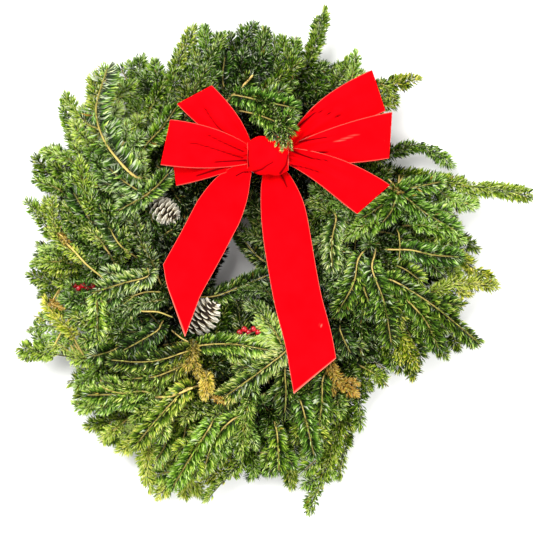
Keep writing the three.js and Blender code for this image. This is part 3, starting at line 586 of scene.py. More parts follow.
# Where the foliage as a whole differs from the rest: middle in pixels, radius in mm, change of tone,
# change of olive (below 0 is bluer), change of the share of frosty pale needles
patches = [
    ((250, 60), 70, -0.15, -0.1, 0.12), ((130, 270), 80, 0.31, -0.05, 0.3),
    ((330, 250), 60, 0.40, 0.0, 0.15), ((480, 205), 80, 0.16, -0.05, 0.25),
    ((440, 320), 70, -0.02, 0.30, 0.0), ((400, 370), 60, -0.03, 0.40, 0.0),
    ((60, 230), 70, 0.02, 0.15, 0.0), ((110, 430), 80, 0.18, 0.12, -0.05),
    ((180, 470), 80, 0.16, 0.22, 0.0), ((330, 440), 70, 0.08, 0.3, 0.0),
    ((125, 115), 80, 0.42, -0.05, 0.60), ((255, 440), 60, -0.02, 0.0, 0.0),
    ((370, 235), 50, 0.0, -0.35, 0.3), ((190, 365), 26, 0.05, 0.9, 0.0),
    ((415, 85), 40, 0.05, 0.4, 0.0), ((210, 385), 24, 0.05, 0.8, 0.0),
    ((480, 283), 40, 0.0, 0.6, 0.0), ((80, 190), 50, 0.0, -0.2, 0.0),
    ((268, 345), 44, 0.50, 0.0, 0.3), ((132, 188), 40, 0.28, 0.0, 0.4),
    ((150, 90), 24, -0.50, 0.0, -0.3), ((214, 400), 46, 0.30, 0.1, 0.1),
    ((360, 360), 36, 0.30, 0.0, 0.1), ((80, 340), 38, 0.28, 0.0, 0.1),
    ((342, 70), 32, 0.22, 0.0, 0.4), ((50, 290), 28, 0.30, 0.1, 0.1),
]


def patchwork(points):
    # sum of bell-shaped patches: each adds its change times exp(-(distance / radius) ** 2)
    tone, olive, frost = np.zeros((3, len(points)))
    for middle, radius, lighter, yellower, frostier in patches:
        x, y = fromPixels(middle)
        near = np.exp(-((points[:, 0] - x) ** 2 + (points[:, 1] - y) ** 2) / radius ** 2)
        tone += lighter * near
        olive += yellower * near
        frost += frostier * near
    return tone, olive, frost


def paintedShadeByDepth(points):
    # painted shade: foliage deep under the face is painted darker, where shade falls: tone lost for each mm
    # below the face's height
    reach = np.hypot(points[:, 0], points[:, 1])
    face = foliage["topHeight"] - foliage["fall"] * np.maximum(reach - foliage["shoulder"], 0)
    return -foliage["paintedDeepShade"] * np.clip(face - points[:, 2], 0, 60)


def polar(angle, reach, height):
    # a point at an angle in degrees from +X and a distance from the middle of the ring
    a = math.radians(angle)
    return np.array([reach * math.cos(a), reach * math.sin(a), height])


def mix(a, b, share):
    # a at share 0, b at share 1
    return a + (b - a) * share


def stemPath(spray):
    # through its clamp along the hoop, out of it, and in one sweep to the tip
    clamp, slot, tip = spray[:3]
    reach = stem["slotReach"][slot]
    height, nearRise, clearRise = stem["highSeat"] if slot in "de" else stem["lowSeat"]
    along = polar(clamp - 90, 1, 0)
    seat = polar(clamp, reach, height)
    if len(spray) > 3:
        middle = [np.array(point, float) for point in spray[3]]
    else:
        bend = [mix(*values) for values in zip((clamp, reach, height), tip, stem["bend"])]
        middle = [polar(*bend)]
    butt = seat - along * stem["buttLength"]
    near = seat + along * stem["near"] + [0, 0, nearRise]
    clear = seat + along * stem["clear"] + [0, 0, clearRise]
    return curveThrough([butt, seat, near, clear, *middle, polar(*tip)], stem["step"])


def sidePath(path, start, side, length, lift):
    # leaves the main stem at about 45 degrees and curves forwards: its half-way point and its end lie
    # these shares of its length ahead and aside, and of its lift up
    forwards, right, _ = directions(path)
    points = [path[start]]
    for ahead, aside, rise in ((0.36, 0.4, 0.6), (0.84, 0.68, 1.0)):
        place = path[start] + forwards[start] * length * ahead + right[start] * side * length * aside
        place[2] += lift * rise
        points.append(place)
    return curveThrough(points, stem["step"])


def needlesOn(path, first, habit, rng, tone, dry=0.0, scale=1.0, pale=0.0):
    # each needle is a closed diamond bent forwards over its middle: a foot, two side corners and a
    # tip. They stand in golden-angle steps round a brush and in ranks on a comb or a fringe.
    h = habits[habit]
    forwards, right, up = directions(path)
    run = np.concatenate([[0], np.cumsum(np.linalg.norm(np.diff(path, axis=0), axis=1))])
    start = run[first]
    length = run[-1] - start
    count = int(length * h["perMm"])
    if count < 3:
        return None
    number = np.arange(count)
    clear = (number // (1 if habit == "fringe" else 2)) % h["clearOnes"] == 0
    calm = np.where(clear, *h["calm"])
    places = start + (number + np.where(clear, 0.5, rng.random(count))) / count * length
    left = run[-1] - places

    def along(v):
        return np.stack([np.interp(places, run, v[:, k]) for k in range(3)], -1)

    f, r, u = unit(along(forwards)), unit(along(right)), unit(along(up))
    middle = along(path)
    if habit == "brush":
        around = (number * goldenAngle + rng.normal(0, needle["brushStray"], count)) % 360
        low, high = needle["underArc"]
        under = (around > low) & (around < high) & (rng.random(count) < needle["turnedUp"])
        around = np.where(clear, around % needle["clearArc"] + needle["clearFrom"],
                          np.where(under, around - 180, around))
    else:
        side = np.where((number % 2 == 0) | (habit == "fringe"), 0, 180)
        around = side + rng.normal(0, needle["rankStray"], count) * calm
        standing = ~clear & (rng.random(count) < needle["standing"])
        around = np.where(standing, rng.random(count) * 180, around)
    around = np.radians(around)
    out = np.cos(around)[:, None] * r + np.sin(around)[:, None] * u
    # near the bud the needles turn forwards step by step, which gives the twig a blunt round end
    closing = np.clip(left / needle["budReach"], 0, 1) ** 0.8
    opening = np.clip((places - start) / needle["footReach"], 0, 1)
    rootAngle = h["rootAngle"] + rng.normal(0, needle["rootStray"], count) * calm
    rootAngle = np.radians(rootAngle * mix(needle["budAngle"], 1, closing))
    tipAngle = h["tipAngle"] + rng.normal(0, needle["tipStray"], count) * calm
    tipAngle = np.radians(tipAngle * mix(needle["budAngle"], 1, closing))
    size = h["length"] * scale * rng.uniform(*needle["lengths"], count)
    size *= mix(needle["budSize"], 1.0, closing)
    size *= mix(needle["footSize"], 1.0, opening) * np.where(clear, *needle["sizeTimes"])
    d0 = np.cos(rootAngle)[:, None] * f + np.sin(rootAngle)[:, None] * out
    d1 = np.cos(tipAngle)[:, None] * f + np.sin(tipAngle)[:, None] * out + h["rise"] * u
    d1 = unit(d1 + rng.normal(0, needle["sway"], (count, 3)) * calm[:, None])
    foot = middle + out * needle["footOff"]
    knee = foot + d0 * (size * needle["knee"])[:, None]
    tip = knee + d1 * (size * (1 - needle["knee"]))[:, None]
    knee[:, 2] = np.maximum(knee[:, 2] + needle["kneeLift"] * clear, needle["lowestKnee"])
    tip[:, 2] = np.maximum(tip[:, 2] + needle["tipLift"] * clear, needle["lowestTip"])
    wide = unit(np.cross(d0 + d1, out + 0.001))
    halfWidth = h["halfWidth"] * scale ** 0.5 * rng.uniform(*needle["widths"], count)
    halfWidth *= np.where(clear, *needle["widthTimes"])
    turned = unit(wide + rng.normal(0, needle["turn"], (count, 3)))
    ridge = np.cross(turned, unit(d0 + d1)) * needle["ridge"]
    sides = turned * halfWidth[:, None]
    inside, apart = insidePolygon(tip, foliage["outline"])
    allowed = foliage["overhang"] * rng.uniform(*foliage["ragged"], count)
    keep = ~inClearing(knee) & (inside | (apart < allowed))
    points = np.stack([foot, knee + ridge + sides, knee + ridge - sides, tip], 1)[keep]
    count = int(keep.sum())
    # painted light and shade: the needles on top of a brush twig and the clear ones are painted lighter, as
    # if they catch the light, and the ones under it and the rest darker; the foliage deep under the face is
    # painted darker still
    lightness = tone + needle["topLight"] * np.sin(around[keep]) * (habit == "brush")
    lightness += rng.normal(0, needle["toneSpread"], count)
    lightness += np.where(clear[keep], needle["paintedClearHighlight"], h["paintedShade"])
    patchTone, patchOlive, patchFrost = patchwork(middle[keep])
    lightness = lightness + paintedShadeByDepth(middle[keep]) + patchTone
    olive = patchOlive + rng.normal(*needle["oliveTwig"]) + rng.normal(0, needle["oliveSpread"], count)
    paleShare = (h["pale"] + pale + patchFrost) * np.where(clear[keep], *needle["paleTimes"])
    paleOnes = (rng.random(count) < paleShare) * rng.uniform(*needle["paleness"], count)
    dryOnes = dry * rng.uniform(*needle["dryness"], count)
    dryOnes = dryOnes + (rng.random(count) < needle["deadOnes"]) * needle["deadness"]
    corners = np.ones(4)
    return {"points": points, "needleTone": lightness[:, None] + np.array(needle["tones"]),
            "needlePale": paleOnes[:, None] * np.array(needle["pales"]),
            "needleDry": np.clip(dryOnes, 0, 1)[:, None] * corners,
            "needleOlive": np.clip(olive, 0, 1)[:, None] * corners}


def twigTube(path, startRadius, endRadius, age, sides=5):
    # radius = start + (end - start) share ** 0.8 along the twig; the bark is younger towards the tip
    radii = mix(startRadius, endRadius, np.linspace(0, 1, len(path)) ** 0.8)
    # small knots where the buds were
    knots = 1 + 0.06 * np.sin(np.arange(len(path)) * 2.3)
    ages = np.linspace(age, max(age - 0.35, 0), len(path))
    return tubeAlong(path, radii * knots, sides, {"barkAge": ages}, 1)


def buildSpray(kind, index, spray):
    # one cut branch: its main stem, the side twigs that fit the outline, and needles on all of them
    rng = np.random.default_rng(stem["seed"][kind] + index)
    path = stemPath(spray)
    bare = int(len(path) * stem["bareShare"][kind])
    tone = stem["tone"][kind] + rng.normal(0, branching["toneSpread"])
    mainHabit = "comb" if kind == "front" and index % branching["combEvery"] == 0 else "brush"
    slim = stem["slim"].get(f"{kind}_{index + 1:02d}", 1.0)
    twigs = [twigTube(path, stem["stemRadius"], stem["tipRadius"], branching["stemAge"][mainHabit])]
    needles = [needlesOn(path, bare - stem["needlesBefore"], mainHabit, rng, tone, scale=slim)]
    needled = len(path) - 1 - bare
    for share, side, length in spray[4] if len(spray) > 4 else sideTwigs[kind]:
        start = min(bare + int(share * needled), len(path) - 2)
        reach = length * rng.uniform(*branching["lengths"])
        twig = trimTwig(sidePath(path, start, side, reach, rng.uniform(*branching["lifts"])))
        if twig is None:
            continue
        habit = "comb" if rng.random() < branching["combShare"] else "brush"
        twigs.append(twigTube(twig, stem["twigRadius"], stem["tipRadius"], *branching["twigBark"][habit]))
        twigTone = tone + rng.normal(*branching["twigTone"])
        size = branching["twigNeedles"] * slim
        needles.append(needlesOn(twig, 1, habit, rng, twigTone, scale=size))
    return {"kind": kind, "path": path, "twigs": twigs, "needles": needles}


sprays = {}
for kind, table in (("inner", innerSprays), ("outer", outerSprays), ("front", frontSprays)):
    for index, spray in enumerate(table):
        name = f"fir_spray_{kind}_{index + 1:02d}"
        sprays[name] = buildSpray(kind, index, spray)
print("stage 3:", len(sprays), "fir sprays grown")

# Sprigs on the face, by their place in the photograph: pixels from foot to tip, height of the foot
# and of the tip in mm, habit, tone, size of needles, dryness, and where it differs from the habit's,
# the share of frosty pale needles
faceSprigs = [
    ([(134, 176), (118, 160), (103, 138), (96, 110), (107, 69)], 92, 94, "fringe", 0.5, 0.9, 0.0, 0.2),
    ([(146, 195), (157, 186), (168, 174)], 84, 80, "comb", 0.42, 0.9, 0.0),
    ([(146, 196), (134, 202), (120, 210)], 84, 80, "comb", 0.50, 0.9, 0.0),
    ([(143, 193), (125, 182), (110, 169)], 84, 84, "comb", 0.42, 0.9, 0.0),
    ([(145, 146), (162, 128), (176, 108)], 74, 78, "comb", 0.36, 0.9, 0.0),
    ([(79, 257), (60, 240), (53, 218), (53, 198)], 78, 76, "brush", 0.66, 0.75, 0.0),
    ([(148, 276), (124, 283), (92, 293)], 88, 90, "comb", 0.50, 1.0, 0.0, 0.4),
    ([(97, 292), (97, 312), (98, 336)], 86, 84, "comb", 0.58, 0.9, 0.0, 0.3),
    ([(189, 351), (160, 360), (139, 362), (112, 360)], 86, 86, "comb", 0.52, 0.95, 0.0),
    ([(158, 330), (142, 340), (124, 350)], 82, 84, "comb", 0.44, 0.95, 0.0),
    ([(192, 362), (177, 368), (157, 376), (129, 379)], 84, 84, "comb", 0.56, 0.9, 0.1),
    ([(141, 391), (120, 394), (88, 395)], 82, 80, "comb", 0.60, 0.95, 0.0),
    ([(186, 389), (168, 407), (153, 424), (136, 445)], 84, 80, "comb", 0.56, 1.0, 0.0),
    ([(203, 345), (232, 344), (268, 350)], 84, 84, "comb", 0.54, 0.95, 0.0),
    ([(285, 352), (262, 370), (219, 401)], 88, 84, "comb", 0.56, 1.0, 0.0),
    ([(211, 425), (195, 450), (174, 485)], 84, 76, "comb", 0.52, 0.95, 0.0),
    ([(285, 371), (286, 390), (285, 412)], 84, 82, "comb", 0.52, 0.95, 0.0),
    ([(284, 352), (277, 335), (262, 316)], 82, 80, "comb", 0.72, 0.95, 0.0, 0.3),
    ([(272, 324), (262, 312), (248, 304)], 76, 72, "brush", 0.66, 0.9, 0.0, 0.1),
    ([(277, 432), (278, 445), (279, 470)], 78, 72, "comb", 0.56, 0.9, 0.0),
    ([(300, 400), (307, 425), (314, 455)], 84, 78, "comb", 0.54, 0.95, 0.0),
    ([(323, 378), (322, 400), (319, 425)], 82, 76, "comb", 0.50, 0.9, 0.0),
    ([(330, 364), (338, 380), (356, 394)], 84, 80, "brush", 0.74, 0.72, 0.7),
    ([(194, 347), (191, 357), (187, 368)], 86, 88, "brush", 0.74, 0.80, 0.40),
    ([(206, 377), (207, 386), (205, 396)], 86, 88, "brush", 0.74, 0.80, 0.35),
    ([(336, 218), (332, 240), (332, 268)], 84, 80, "comb", 0.44, 0.95, 0.0),
    ([(358, 260), (354, 282), (338, 312)], 84, 80, "comb", 0.42, 0.95, 0.0),
    ([(372, 268), (384, 302), (391, 342)], 88, 86, "comb", 0.46, 1.0, 0.0),
    ([(364, 289), (369, 302), (375, 318)], 82, 78, "comb", 0.42, 0.85, 0.0),
    ([(391, 280), (416, 294), (438, 309), (478, 342)], 88, 72, "comb", 0.54, 0.95, 0.0),
    ([(407, 300), (425, 320), (438, 347)], 84, 76, "comb", 0.56, 0.95, 0.0),
    ([(397, 191), (415, 187), (440, 182)], 82, 76, "comb", 0.56, 0.95, 0.0),
    ([(399, 192), (424, 212), (457, 232)], 84, 76, "comb", 0.60, 0.95, 0.0),
    ([(396, 196), (392, 210), (383, 222)], 84, 80, "comb", 0.44, 0.9, 0.0),
    ([(390, 199), (378, 208), (362, 218)], 80, 78, "comb", 0.62, 0.95, 0.0, 0.3),
    ([(366, 224), (356, 230), (344, 236)], 76, 72, "brush", 0.62, 0.9, 0.0, 0.1),
    ([(348, 208), (332, 198), (314, 188)], 76, 74, "brush", 0.60, 0.9, 0.0),
    ([(346, 222), (330, 214), (314, 206)], 72, 70, "brush", 0.60, 0.9, 0.0),
    ([(410, 250), (434, 255), (458, 257)], 84, 76, "comb", 0.50, 0.95, 0.0),
    ([(340, 330), (344, 340), (350, 352)], 78, 76, "comb", 0.44, 0.85, 0.0),
    ([(430, 293), (455, 284), (497, 286)], 66, 58, "brush", 0.78, 0.85, 0.12),
    ([(226, 104), (238, 92), (252, 76)], 76, 78, "comb", 0.46, 0.95, 0.0),
    ([(215, 296), (240, 287), (266, 276)], 60, 64, "comb", 0.78, 0.95, 0.0),
    ([(266, 232), (258, 220), (250, 196)], 60, 56, "comb", 0.82, 0.9, 0.0),
    ([(266, 262), (250, 248), (236, 226)], 52, 48, "comb", 0.80, 0.85, 0.0),
    ([(268, 244), (256, 236), (243, 234)], 60, 58, "brush", 0.86, 0.9, 0.0),
    ([(264, 214), (254, 208), (245, 210)], 62, 60, "brush", 0.82, 0.9, 0.0),
    ([(268, 292), (254, 288), (238, 294)], 62, 60, "brush", 0.78, 0.9, 0.0),
    # a near-black sprig low down beside the left tail: a painted shadow, dark needles put where the tail's
    # shadow falls
    ([(205, 284), (214, 264), (224, 246)], 16, 14, "brush", 0.0, 0.8, 0.0),
    ([(232, 420), (214, 440), (204, 470)], 80, 72, "comb", 0.56, 0.95, 0.0),
    ([(250, 400), (244, 425), (240, 455)], 78, 72, "brush", 0.56, 0.95, 0.0),
    ([(160, 300), (135, 305), (108, 318)], 80, 80, "brush", 0.46, 0.9, 0.0),
    ([(93, 210), (84, 190), (80, 160)], 78, 76, "brush", 0.52, 0.9, 0.0),
    ([(120, 245), (108, 225), (100, 205)], 80, 80, "comb", 0.42, 0.9, 0.0),
    ([(152, 262), (140, 240), (134, 218)], 76, 78, "brush", 0.38, 0.9, 0.0),
    ([(70, 330), (58, 318), (46, 300)], 74, 66, "brush", 0.66, 0.9, 0.0),
    ([(100, 240), (80, 225), (66, 206)], 78, 72, "brush", 0.56, 0.9, 0.0),
    ([(192, 96), (205, 70), (214, 48)], 74, 66, "brush", 0.50, 0.9, 0.0),
    ([(262, 96), (280, 78), (300, 62)], 76, 72, "brush", 0.48, 0.9, 0.0),
    ([(150, 110), (160, 90), (176, 72)], 74, 72, "brush", 0.46, 0.9, 0.0),
    ([(420, 225), (436, 228), (462, 240)], 80, 70, "brush", 0.60, 0.9, 0.0),
    ([(395, 330), (405, 345), (416, 366)], 78, 72, "brush", 0.58, 0.9, 0.0),
    ([(305, 330), (318, 350), (330, 372)], 76, 74, "brush", 0.42, 0.9, 0.0),
    ([(345, 255), (342, 270), (330, 296)], 74, 70, "brush", 0.40, 0.9, 0.0),
    ([(172, 80), (173.5, 82)], 58, 92, "brush", 0.5, 1.0, 0.0),
    ([(136, 122), (138, 124)], 60, 92, "brush", 0.42, 1.0, 0.0, 0.2),
    ([(368, 242), (370, 244)], 62, 94, "brush", 0.42, 1.0, 0.0, 0.3),
    ([(90, 150), (91, 152)], 52, 82, "brush", 0.52, 0.9, 0.0),
    ([(244, 78), (246, 79)], 58, 88, "brush", 0.44, 0.9, 0.0),
    ([(120, 330), (121, 332)], 62, 92, "brush", 0.44, 0.9, 0.0, 0.2),
    ([(262, 402), (263, 404)], 60, 90, "brush", 0.44, 0.9, 0.0),
    # over the knot and the inner end of the upper right loop
    ([(240, 96), (262, 101), (294, 108)], 112, 142, "comb", 0.62, 1.0, 0.0, -0.15),
    ([(258, 115), (274, 121), (292, 130)], 126, 148, "comb", 0.62, 0.9, 0.0, -0.15),
    ([(287, 130), (285, 140), (282, 149)], 146, 150, "brush", 0.78, 0.5, 0.1),
    # small tufts that have dried
    ([(52, 304), (57, 306), (63, 308)], 82, 80, "brush", 0.62, 0.42, 0.8),
    ([(62, 236), (66, 242), (72, 249)], 84, 82, "brush", 0.62, 0.40, 0.6),
    ([(216, 398), (221, 401), (226, 403)], 86, 88, "brush", 0.66, 0.45, 0.7),
    ([(396, 187), (399, 190), (403, 192)], 84, 84, "brush", 0.55, 0.40, 0.7),
    # tufts at the edge
    ([(289, 66), (286, 52), (282, 38)], 60, 46, "brush", 0.62, 0.9, 0.0),
    ([(214, 60), (218, 46), (224, 36)], 58, 44, "brush", 0.62, 0.9, 0.0),
    ([(262, 52), (264, 40), (265, 30)], 56, 44, "brush", 0.6, 0.9, 0.0),
    ([(148, 455), (146, 470), (150, 490)], 50, 36, "brush", 0.66, 0.9, 0.0),
    ([(190, 470), (194, 482), (200, 494)], 50, 36, "brush", 0.66, 0.9, 0.0),
    ([(284, 448), (288, 464), (291, 480)], 50, 36, "brush", 0.6, 0.9, 0.0),
    ([(446, 196), (460, 202), (474, 206)], 56, 50, "brush", 0.66, 0.9, 0.0),
    ([(70, 160), (56, 154), (44, 152)], 56, 44, "brush", 0.6, 0.85, 0.0),
    ([(60, 190), (46, 184), (36, 180)], 54, 44, "brush", 0.6, 0.85, 0.0),
    ([(52, 262), (42, 262), (34, 264)], 54, 44, "brush", 0.64, 0.85, 0.0),
    ([(424, 338), (436, 346), (446, 356)], 54, 44, "brush", 0.6, 0.85, 0.0),
    ([(372, 372), (380, 378), (388, 386)], 56, 46, "brush", 0.56, 0.85, 0.0),
    ([(92, 404), (82, 408), (74, 404)], 56, 44, "brush", 0.62, 0.85, 0.0),
    ([(114, 430), (106, 436), (102, 442)], 54, 44, "brush", 0.62, 0.85, 0.0),
    ([(62, 316), (46, 318), (34, 316)], 54, 44, "brush", 0.66, 0.75, 0.0),
    ([(208, 60), (206, 44), (204, 28)], 58, 44, "brush", 0.62, 0.9, 0.0),
    ([(286, 452), (290, 470), (291, 487)], 50, 36, "brush", 0.6, 0.9, 0.0),
    ([(186, 470), (186, 484), (184, 498)], 50, 36, "brush", 0.66, 0.9, 0.0),
    ([(60, 345), (42, 352), (22, 357)], 52, 40, "brush", 0.66, 0.75, 0.0),
    ([(62, 328), (44, 326), (29, 329)], 52, 42, "brush", 0.66, 0.75, 0.0),
    ([(276, 66), (275, 52), (274, 38)], 58, 44, "brush", 0.56, 0.9, 0.0),
    ([(292, 60), (294, 48), (296, 36)], 56, 44, "brush", 0.56, 0.85, 0.0),
    ([(118, 84), (108, 74), (98, 66)], 58, 44, "brush", 0.62, 0.9, 0.0),
    ([(80, 115), (72, 106), (64, 94)], 56, 44, "brush", 0.62, 0.85, 0.0),
    ([(440, 300), (452, 304), (465, 306)], 54, 44, "brush", 0.62, 0.85, 0.0),
    ([(400, 352), (408, 364), (413, 377)], 54, 44, "brush", 0.6, 0.85, 0.0),
    ([(68, 336), (54, 336), (40, 340)], 52, 42, "brush", 0.66, 0.75, 0.0),
    ([(382, 84), (390, 94), (395, 106)], 54, 44, "brush", 0.6, 0.8, 0.0),
    ([(352, 78), (354, 66), (356, 53)], 54, 44, "brush", 0.6, 0.8, 0.0),
    # dry scars where twigs fork
    ([(147, 195), (144, 196)], 84, 88, "brush", 0.7, 0.4, 0.7),
    ([(397, 193), (400, 192)], 84, 90, "brush", 0.7, 0.42, 0.8),
    ([(66, 243), (70, 247)], 80, 86, "brush", 0.7, 0.35, 0.7),
    ([(57, 305), (59, 306)], 74, 80, "brush", 0.7, 0.3, 0.9),
]

# Bare twigs on the face: pixels from root to tip, height at each end in mm, radius in mm, age of bark
bareTwigs = [
    ([(222, 108), (229, 98), (239, 90), (252, 76)], 84, 90, 2.3, 1.0),
    ([(68, 245), (75, 252), (86, 264), (103, 278)], 86, 88, 1.7, 0.6),
    ([(104, 388), (120, 393), (140, 391)], 88, 90, 1.3, 0.5),
    ([(133, 296), (146, 292), (160, 292)], 82, 84, 1.5, 0.55),
    ([(142, 311), (158, 312), (172, 317)], 84, 88, 1.5, 0.6),
    ([(133, 297), (122, 305), (108, 311)], 84, 86, 1.2, 0.5),
    ([(66, 323), (80, 314), (92, 312)], 80, 82, 1.2, 0.5),
    ([(399, 235), (400, 247), (399, 260)], 88, 88, 1.0, 0.5),
    ([(168, 397), (180, 393), (192, 388)], 88, 90, 1.9, 0.9),
]

# Darker sprigs lower down, which close the ring in towards the hole; habit, tone, size of needles and
# dryness are the same for all
fillLook = ("brush", 0.42, 1.0, 0.0)
fillSprigs = [
    ([(140, 196), (168, 206), (196, 216)], 44, 40), ([(140, 226), (170, 238), (204, 246)], 44, 38),
    ([(140, 256), (172, 262), (204, 272)], 44, 38), ([(146, 288), (176, 292), (206, 296)], 44, 40),
    ([(160, 168), (184, 186), (206, 206)], 44, 40), ([(186, 158), (206, 178), (222, 206)], 44, 38),
    ([(214, 156), (226, 180), (232, 210)], 44, 38), ([(244, 154), (243, 182), (240, 214)], 44, 38),
    ([(268, 158), (258, 184), (250, 214)], 44, 38), ([(300, 176), (284, 200), (268, 222)], 44, 38),
    ([(316, 206), (294, 220), (272, 236)], 44, 38), ([(320, 240), (298, 248), (276, 256)], 44, 38),
    ([(318, 274), (296, 276), (274, 280)], 44, 38), ([(306, 310), (286, 302), (268, 296)], 44, 38),
    ([(276, 346), (268, 326), (260, 306)], 44, 38), ([(246, 352), (244, 328), (242, 304)], 44, 38),
    ([(214, 348), (220, 326), (226, 304)], 44, 38), ([(184, 330), (198, 314), (212, 300)], 44, 38),
    ([(150, 214), (160, 232), (186, 238)], 54, 48), ([(150, 300), (168, 282), (190, 282)], 52, 46),
    ([(196, 172), (200, 196), (210, 222)], 52, 46), ([(176, 196), (190, 214), (206, 230)], 52, 46),
    ([(170, 262), (190, 254), (208, 252)], 52, 46), ([(330, 262), (308, 264), (284, 268)], 56, 50),
    ([(322, 300), (306, 290), (290, 286)], 56, 50), ([(330, 330), (312, 322), (294, 316)], 56, 50),
    ([(232, 366), (232, 346), (236, 322)], 54, 46), ([(262, 366), (258, 346), (254, 322)], 54, 46),
    ([(310, 350), (292, 340), (272, 324)], 54, 46), ([(200, 366), (206, 346), (214, 326)], 54, 46),
    ([(346, 236), (326, 244), (304, 250)], 64, 58), ([(342, 206), (322, 214), (302, 228)], 64, 58),
    ([(330, 318), (350, 326), (372, 342)], 50, 50), ([(338, 300), (356, 316), (374, 330)], 56, 54),
    ([(336, 344), (352, 352), (368, 358)], 50, 50), ([(352, 310), (360, 326), (362, 346)], 60, 58),
    ([(270, 330), (262, 312), (250, 298)], 54, 50), ([(214, 340), (222, 318), (232, 298)], 54, 50),
    ([(244, 340), (240, 318), (236, 298)], 60, 54), ([(280, 316), (268, 306), (254, 296)], 60, 54),
    ([(168, 232), (186, 226), (206, 220)], 62, 54), ([(180, 300), (194, 288), (210, 284)], 58, 50),
    ([(178, 342), (192, 343), (212, 345)], 52, 52), ([(194, 374), (208, 367), (224, 358)], 56, 56),
    ([(198, 352), (212, 362), (228, 372)], 54, 52), ([(104, 106), (118, 96), (134, 84)], 52, 48),
    ([(64, 262), (52, 254), (40, 246)], 46, 40), ([(360, 336), (374, 348), (390, 358)], 46, 40),
    ([(108, 90), (120, 92), (138, 98)], 46, 44), ([(70, 250), (54, 252), (38, 256)], 40, 36),
]


growth = {
    "behind": 26.0,                 # how far behind its foot a sprig leaves the stem, mm
    "rootHeight": 0.55,             # wanted height of that place, times the height of the foot
    "skipped": slice(5, -8),        # the points of a stem where a sprig can leave it
    "heightCounts": 0.7,            # how much a step in height counts against a step sideways
    "riseAt": (0.55, 0.7),          # the bend: share of the way to the foot, sideways and in height
    "seed": 7000, "fillSeed": 7200,
    "lift": 1.6,                    # of a sprig's own twig above the feet of its needles, mm
    "tipRadius": 0.9, "age": 0.5, "dryAge": 0.3,
    "pairFrom": 19,                 # steps from which a sprig has a pair of side twigs
    "pair": ((0.35, 1), (0.48, -1)),        # their places along it and their sides
    "pairLength": 30.0, "pairLift": -4, "pairRadii": (1.1, 0.7), "pairAge": 0.3,
    "pairTone": 0.05, "pairNeedles": 0.85,
}


def nearestStem(points):
    # the main stem closest to a place behind the foot and half as high, and its nearest point
    back = unit(points[0, :2] - points[1, :2])
    wanted = [*(points[0, :2] + back * growth["behind"]), points[0, 2] * growth["rootHeight"]]
    best = None
    for name, spray in sprays.items():
        path = spray["path"][growth["skipped"]]
        reach = np.linalg.norm((path - wanted) * [1, 1, growth["heightCounts"]], axis=1)
        k = int(np.argmin(reach))
        if best is None or reach[k] < best[0]:
            best = (reach[k], name, path[k])
    return best[1], best[2]


def growSprig(seed, pixels, footHeight, tipHeight, habit, tone, size, dry, pale=0.0):
    # a branch of the nearest main stem: it leaves that stem behind its own foot and rises to the face
    points = standAt(fromPixels(pixels), np.linspace(footHeight, tipHeight, len(pixels)))
    name, root = nearestStem(points)
    rise = mix(root, points[0], growth["riseAt"][0])
    rise[2] = mix(root[2], points[0][2], growth["riseAt"][1])
    path = curveThrough([root, rise, *points], stem["step"])
    visible = int(np.argmin(np.linalg.norm(path - points[0], axis=1)))
    rng = np.random.default_rng(seed)
    twigs, needles = sprays[name]["twigs"], sprays[name]["needles"]
    lifted = path + [0, 0, growth["lift"]]
    age = growth["age"] + growth["dryAge"] * dry
    twigs.append(twigTube(lifted, habits[habit]["stem"], growth["tipRadius"], age))
    needles.append(needlesOn(path, max(visible - 2, 1), habit, rng, tone, dry, size, pale))
    count = len(path)
    if count <= growth["pairFrom"]:
        return
    # a pair of short side twigs towards the tip of the longer sprigs
    for share, side in growth["pair"]:
        start = min(visible + int((count - visible) * share), count - 3)
        twig = trimTwig(sidePath(path, start, side, growth["pairLength"] * size, growth["pairLift"]))
        if twig is None:
            continue
        twigs.append(twigTube(twig, *growth["pairRadii"], growth["pairAge"]))
        needles.append(needlesOn(twig, 1, habit, rng, tone + growth["pairTone"], dry,
                                 size * growth["pairNeedles"]))


for number, sprig in enumerate(fillSprigs):
    growSprig(growth["fillSeed"] + number, *sprig, *fillLook)
for number, sprig in enumerate(faceSprigs):
    growSprig(growth["seed"] + number, *sprig)
for pixels, footHeight, tipHeight, radius, age in bareTwigs:
    points = standAt(fromPixels(pixels), np.linspace(footHeight, tipHeight, len(pixels)))
    name, root = nearestStem(points)
    path = curveThrough([root, mix(root, points[0], 0.6), *points], stem["step"] / 2)
    sprays[name]["twigs"].append(twigTube(path, radius, radius * 0.7, age))

# Needles that lie under many others: the size of the cells they are counted in, mm, how many may lie above
# one before it may be dropped, the share that drops, the tone lost for each one above, which is painted
# shade from the needles that would shade it, and how many of those count
cover = {"cell": 6.0, "visible": 16, "dropped": 0.85, "paintedShade": 0.022, "deepest": 26, "seed": 5}


def countFromTop(knees):
    # sorted by cell and then from the top down, a needle's number is its place less its cell's first
    cells = np.floor(asSeen(knees) / cover["cell"]).astype(int)
    key = (cells[:, 0] + 500) * 1000 + cells[:, 1] + 500
    order = np.lexsort((-knees[:, 2], key))
    places = np.arange(len(key))
    starts = np.concatenate([[True], key[order][1:] != key[order][:-1]])
    numbers = np.empty(len(key), int)
    numbers[order] = places - np.maximum.accumulate(np.where(starts, places, 0))
    return numbers


